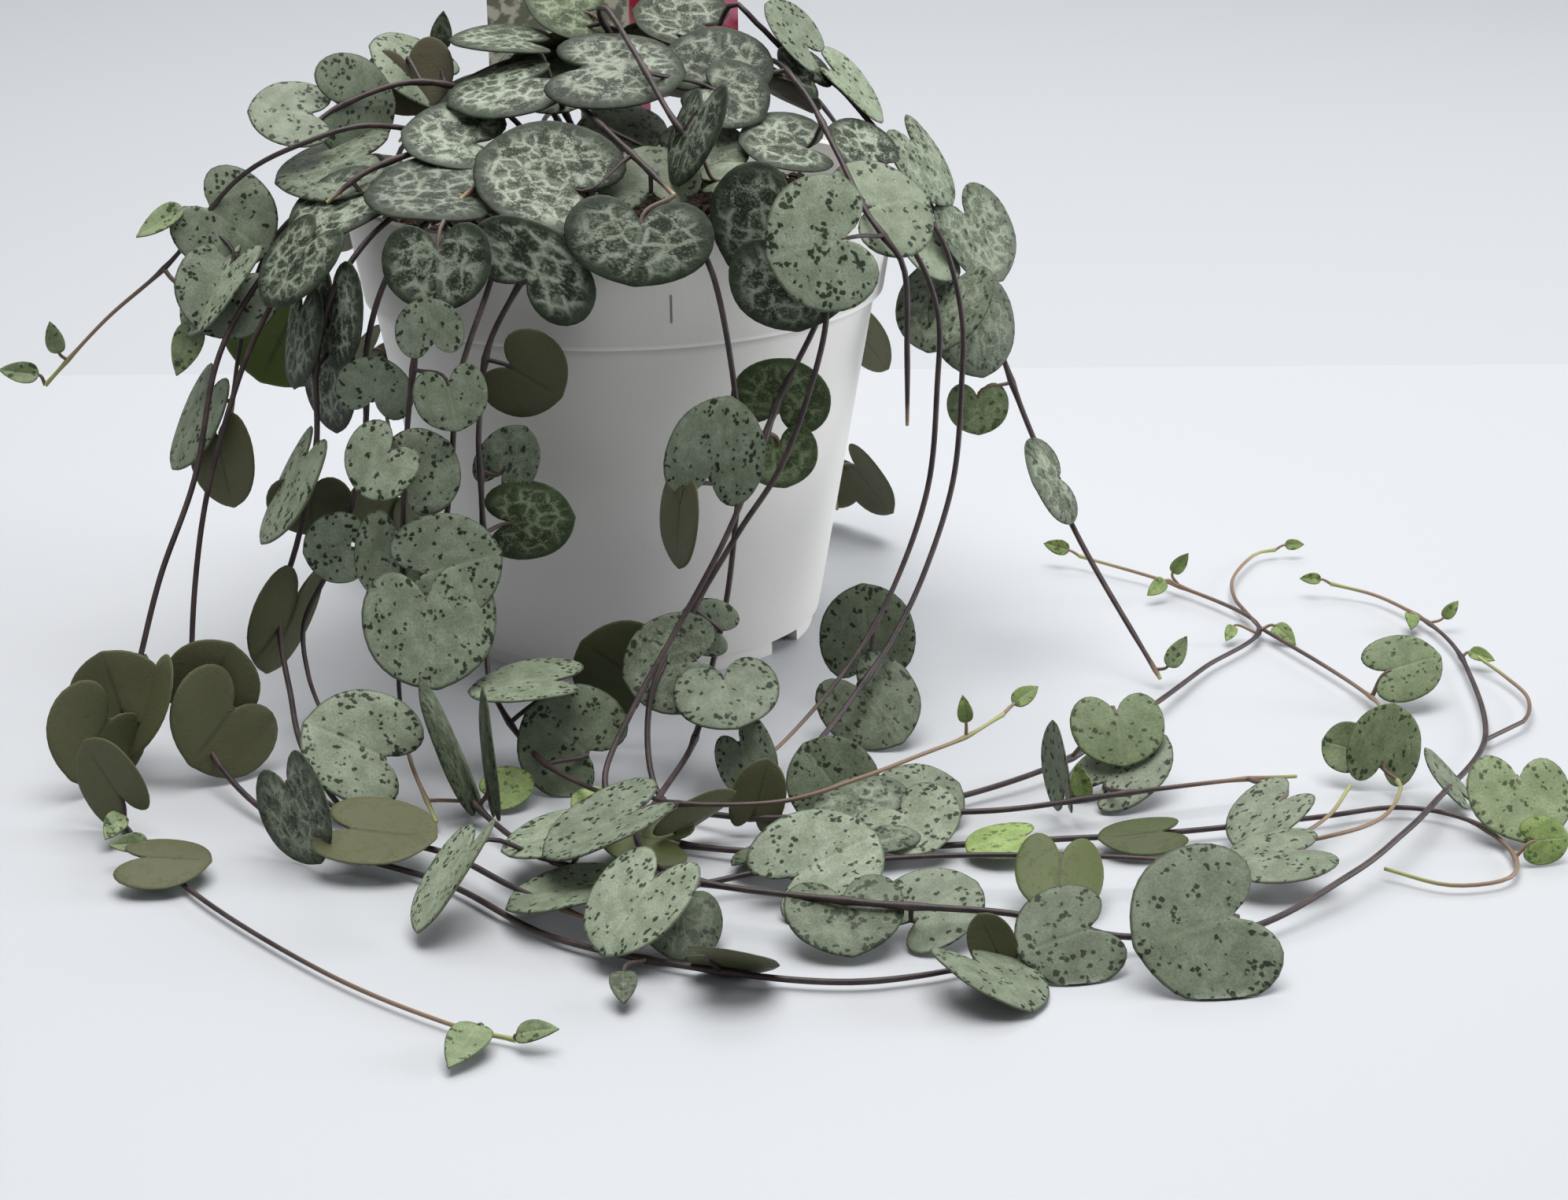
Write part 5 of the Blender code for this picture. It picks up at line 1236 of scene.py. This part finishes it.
strand("right_runner", [
    stem((27, -19), (38, -26, 90), (48, -32, 90), (56, -37, 84), (60, -39, 70), (60, -40, 56),
         (58, -45, 40), (52, -54, 26), (45, -63, 16), (36, -74, 8), (28, -86, 3), (27, -96, 2),
         (31, -104, 2), (42, -104, 2), (55, -100, 2), (74, -88, 3), (91, -66, 3), (105, -44, 2),
         (119.5, -23, 2), (108.5, 2, 2), (91, 20, 3)),
    [(119.5, -23, 2), (118, -8, 2), (120, 6, 2), (127, 20, 2), (132, 23, 2)],
    [(119.5, -23, 2), (126, -41, 2), (131, -57, 2), (132, -70, 3), (128, -82, 3)],
], [
    heart((39, -66, 8.5), (46, -75, 1), (0, -1, 0.6), 0.8, look=SPOTTED),
    heart((80.5, -94, 13.5), (81, -101, 6.5), (0, -0.8, 0.8), look=FRESH_SPOTTED),
    heart((135, -62, 7), (145, -60, 9), (0, -0.7, 0.8), 0.8, look=FRESH_SPOTTED),
    slim((105, 0, 4), (101, -3, 2), (0, -1, 0.4), look=GREEN),
    slim((107, 2, 5), (110, 2, 9), (0, -1, 0.4), look=GREEN),
    slim((122, -25, 3), (125, -30, 1), (0, -1, 0.6), look=GREEN),
    slim((114, -25, 3), (112, -28, 1), (0, -1, 0.6), look=GREEN),
    slim((89, 21, 4), (84, 23, 5), (0, -1, 0.4), look=GREEN),
    slim((134, 23, 3), (138, 23, 3), (0, -1, 0.4), look=GREEN),
], young=60.0)

# Back strands: shorter stems over the back of the rim, with pairs of leaves.
BACK_STRANDS = ((48.0, 6.0, 12.0), (106.0, 28.0, 13.0), (138.0, 10.0, 11.0))
BACK_RISE = ((34.0, 70.0), (34.0, 82.0), (44.0, 91.0), (54.0, 90.0), (61.0, 82.0))
BACK_HANG_RADIUS = 63.0
BACK_HANG_LENGTHS = 3
BACK_BLADE_RADIUS = 66.0
BACK_PAIR_TOP = 74.0
BACK_PAIR_LOW = 12.0
BACK_PAIR_SPACING = 30.0


def back_strand(angle, end, size, rng):
    """A shorter strand over the back of the rim, with opposite pairs of leaves."""
    route = [around(angle, radius, height) for radius, height in BACK_RISE]
    top = BACK_RISE[-1][1]
    for i in range(1, BACK_HANG_LENGTHS + 1):
        height = top + (end - top) * i / BACK_HANG_LENGTHS
        radius = BACK_HANG_RADIUS + rng.uniform(-1.0, 2.5)
        route.append(around(angle + rng.uniform(-2.5, 2.5), radius, height))
    leaves = []
    height = BACK_PAIR_TOP
    while height > max(end, BACK_PAIR_LOW):
        for side in (-1, 1):
            length = size * rng.uniform(0.8, 1.1)
            level = height + rng.uniform(-2.0, 2.0)
            base = around(angle + side * 4.0, BACK_BLADE_RADIUS, level)
            spread = side * (4.0 + 0.6 * length)
            radius = BACK_BLADE_RADIUS + rng.uniform(2.0, 4.0)
            tip = around(angle + spread, radius, level - 0.75 * length)
            face = around(angle + side * rng.uniform(0.0, 30.0), 1.0, rng.uniform(0.0, 0.5))
            leaves.append(heart(base, tip, face))
        height -= BACK_PAIR_SPACING
    return [route], leaves


for i, facts in enumerate(BACK_STRANDS, 1):
    strand(f"back_strand_{i}", *back_strand(*facts, back_rng))

# Plant label: a thin glossy card on a tapering stake, printed on the front with a grey strip and
# a pink field with a plain crimson patch. It leans back in the soil behind the crown.
LABEL_WIDTH = 50.0
LABEL_HEIGHT = 57.0
LABEL_THICKNESS = 0.8
LABEL_STAKE_WIDTH = 14.0
LABEL_STAKE_HEIGHT = 35.0
LABEL_STAKE_TAPER = 0.6
LABEL_SHOULDER = 4.0
LABEL_CORNER = 5.0
LABEL_CORNER_STEPS = 10
LABEL_DEPTH = 9.0
LABEL_PLACE = (-0.7, 43.0, 72.0)
LABEL_LEAN = math.radians(-6.0)
LABEL_STRIP = 2.5
STRIP_BLUR = 0.2
PATCH_MIDDLE = 115.0
STRIP_GREY = (0.52, 0.50, 0.42, 1.0)
STRIP_DARK = (0.16, 0.17, 0.13, 1.0)
FIELD_PINK = (0.62, 0.20, 0.30, 1.0)
PATCH_CRIMSON = (0.33, 0.012, 0.040, 1.0)
CARD_WHITE = (0.72, 0.71, 0.69, 1.0)

half = 0.5 * LABEL_WIDTH
stake = 0.5 * LABEL_STAKE_WIDTH
card = LABEL_STAKE_HEIGHT - LABEL_DEPTH
top = card + LABEL_HEIGHT
right = [(LABEL_STAKE_TAPER * stake, -LABEL_DEPTH), (stake, LABEL_SHOULDER - LABEL_DEPTH)]
right += [(stake, card - LABEL_SHOULDER), (half, card)]
for i in range(LABEL_CORNER_STEPS + 1):
    turn = 0.5 * math.pi * i / LABEL_CORNER_STEPS
    inset = LABEL_CORNER * (1.0 - math.cos(turn))
    right.append((half - inset, top - LABEL_CORNER * (1.0 - math.sin(turn))))
outline = right + [(-x, z) for x, z in reversed(right)]
curve = bpy.data.curves.new("label", "CURVE")
curve.dimensions = "2D"
curve.fill_mode = "BOTH"
curve.extrude = 0.5 * LABEL_THICKNESS * MM
spline = curve.splines.new("POLY")
spline.use_cyclic_u = True
spline.points.add(len(outline) - 1)
for corner, (x, z) in zip(spline.points, outline):
    corner.co = (x * MM, z * MM, 0.0, 1.0)
label_mesh = finished(placed("label", curve))
upright = Matrix.Rotation(0.5 * math.pi + LABEL_LEAN, 4, "X")
label_mesh.transform(Matrix.Translation(Vector(LABEL_PLACE) * MM) @ upright)
face_outwards(label_mesh, merge=True)

print_skin, nodes, shader = new_material("printed_card")
spot = nodes.place()
x, y, z = nodes.parts(spot)
front = nodes.parts(nodes.add("ShaderNodeNewGeometry", None, None, 1))[1].step(-0.2, -0.6)
blot = nodes.noise(spot, 60.0, 3.0)
grain = nodes.noise(spot, 420.0, 4.0)
patch = (blot - 0.5) * 2.4 + (grain - 0.5) + (z - PATCH_MIDDLE * MM) * 14.0
field = nodes.mix(patch.step(-0.25, 0.25), FIELD_PINK, PATCH_CRIMSON)
strip = nodes.mix(grain.step(0.44, 0.58), STRIP_DARK, STRIP_GREY)
border = x.step((LABEL_STRIP - STRIP_BLUR) * MM, (LABEL_STRIP + STRIP_BLUR) * MM)
printed = nodes.mix(border, strip, field)
feed(
    nodes,
    shader,
    Base_Color=nodes.mix(front, CARD_WHITE, printed),
    Roughness=0.30 + 0.12 * blot,
    Normal=nodes.bump(nodes.noise(spot, 240.0, 2.0), 0.0001, 0.4),
)
label = shown("printed_label", label_mesh, print_skin)
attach(label, "root")
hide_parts("plant_label")

# Surface: a plain pale bench top, whose front sheet ends in a straight seam behind the pot. A
# second pale sheet goes on from there, so nothing stands in the way of a view from behind.
BENCH_PALE = (0.505, 0.52, 0.55, 1.0)
BACK_PALE = (0.46, 0.475, 0.50, 1.0)
SEAM_PLACE = 186.0
SEAM_SLOPE = 0.08
ROOM = 3.0
CLOUD_GREY = (0.8, 0.8, 0.8, 1.0)


def plain_sheet(name, corners, color, roughness):
    """A flat sheet of one pale colour, faintly clouded."""
    mesh = bpy.data.meshes.new(name)
    mesh.from_pydata(corners, [], [(0, 1, 2, 3)])
    paint, nodes, shader = new_material(name)
    cloud = nodes.noise(nodes.place(), 3.0, 2.0)
    paint_color = nodes.tint(cloud * 0.06, color, CLOUD_GREY)
    feed(nodes, shader, Base_Color=paint_color, Roughness=roughness)
    sheet = shown(name, mesh, paint)


left, right = [
    (side * ROOM, SEAM_PLACE * MM - side * SEAM_SLOPE * ROOM, 0.0) for side in (-1.0, 1.0)
]
front_edge = [(-ROOM, -ROOM, 0.0), (ROOM, -ROOM, 0.0)]
back_edge = [(ROOM, 2.0 * ROOM, 0.0), (-ROOM, 2.0 * ROOM, 0.0)]
plain_sheet("bench_front", [*front_edge, right, left], BENCH_PALE, 0.5)
plain_sheet("bench_back", [left, right, *back_edge], BACK_PALE, 0.6)

# Light: soft studio light from wide panels over the pot and behind it, a smaller one on the right,
# and the pale room around.
PANELS = (
    # place in metres, point it faces, size, power and colour
    ((0.05, 0.0, 1.15), (0.0, 0.0, 0.0), 1.0, 18.0, (1.0, 0.99, 0.97)),
    ((0.0, 1.2, 1.15), (0.0, 1.2, 0.0), 1.0, 10.0, (0.98, 0.99, 1.0)),
    ((1.2, 0.0, 0.35), (0.0, 0.0, 0.08), 0.6, 9.5, (0.96, 0.98, 1.0)),
)
SKY = (0.95, 0.97, 1.0, 1.0)
SKY_STRENGTH = 0.24

world = bpy.data.worlds.new("room")
world.use_nodes = True
room_light = world.node_tree.nodes["Background"].inputs
room_light["Color"].default_value = SKY
room_light["Strength"].default_value = SKY_STRENGTH
bpy.context.scene.world = world
for i, (place, target, size, power, color) in enumerate(PANELS):
    light = bpy.data.lights.new(f"panel_{i}", "AREA")
    light.shape = "SQUARE"
    light.size = size
    light.energy = power
    light.color = color
    panel = placed(f"panel_{i}", light)
    panel.location = place
    panel.rotation_euler = (Vector(target) - Vector(place)).to_track_quat("-Z", "Y").to_euler()

# Camera: above the crown and a little over half a metre in front, slightly turned and tipped down.
CAMERA_PLACE = (0.0, -586.0, 208.0)
PITCH = math.radians(19.3)
YAW = math.radians(2.87)
ROLL = math.radians(-0.88)
SENSOR = 36.0
FRAME_WIDTH = 1993.0
FOCAL_PIXELS = 4000.0

lens = bpy.data.cameras.new("camera")
lens.sensor_width = SENSOR
lens.lens = SENSOR * FOCAL_PIXELS / FRAME_WIDTH
lens.clip_start = 0.01
lens.clip_end = 10.0
camera = placed("camera", lens)
ahead = Matrix.Rotation(-YAW, 4, "Z") @ Matrix.Rotation(0.5 * math.pi - PITCH, 4, "X")
place = Matrix.Translation(Vector(CAMERA_PLACE) * MM)
camera.matrix_world = place @ ahead @ Matrix.Rotation(ROLL, 4, "Z")
bpy.context.scene.camera = camera
bpy.context.scene.view_settings.view_transform = "Standard"

emptied(leaf_shapes)
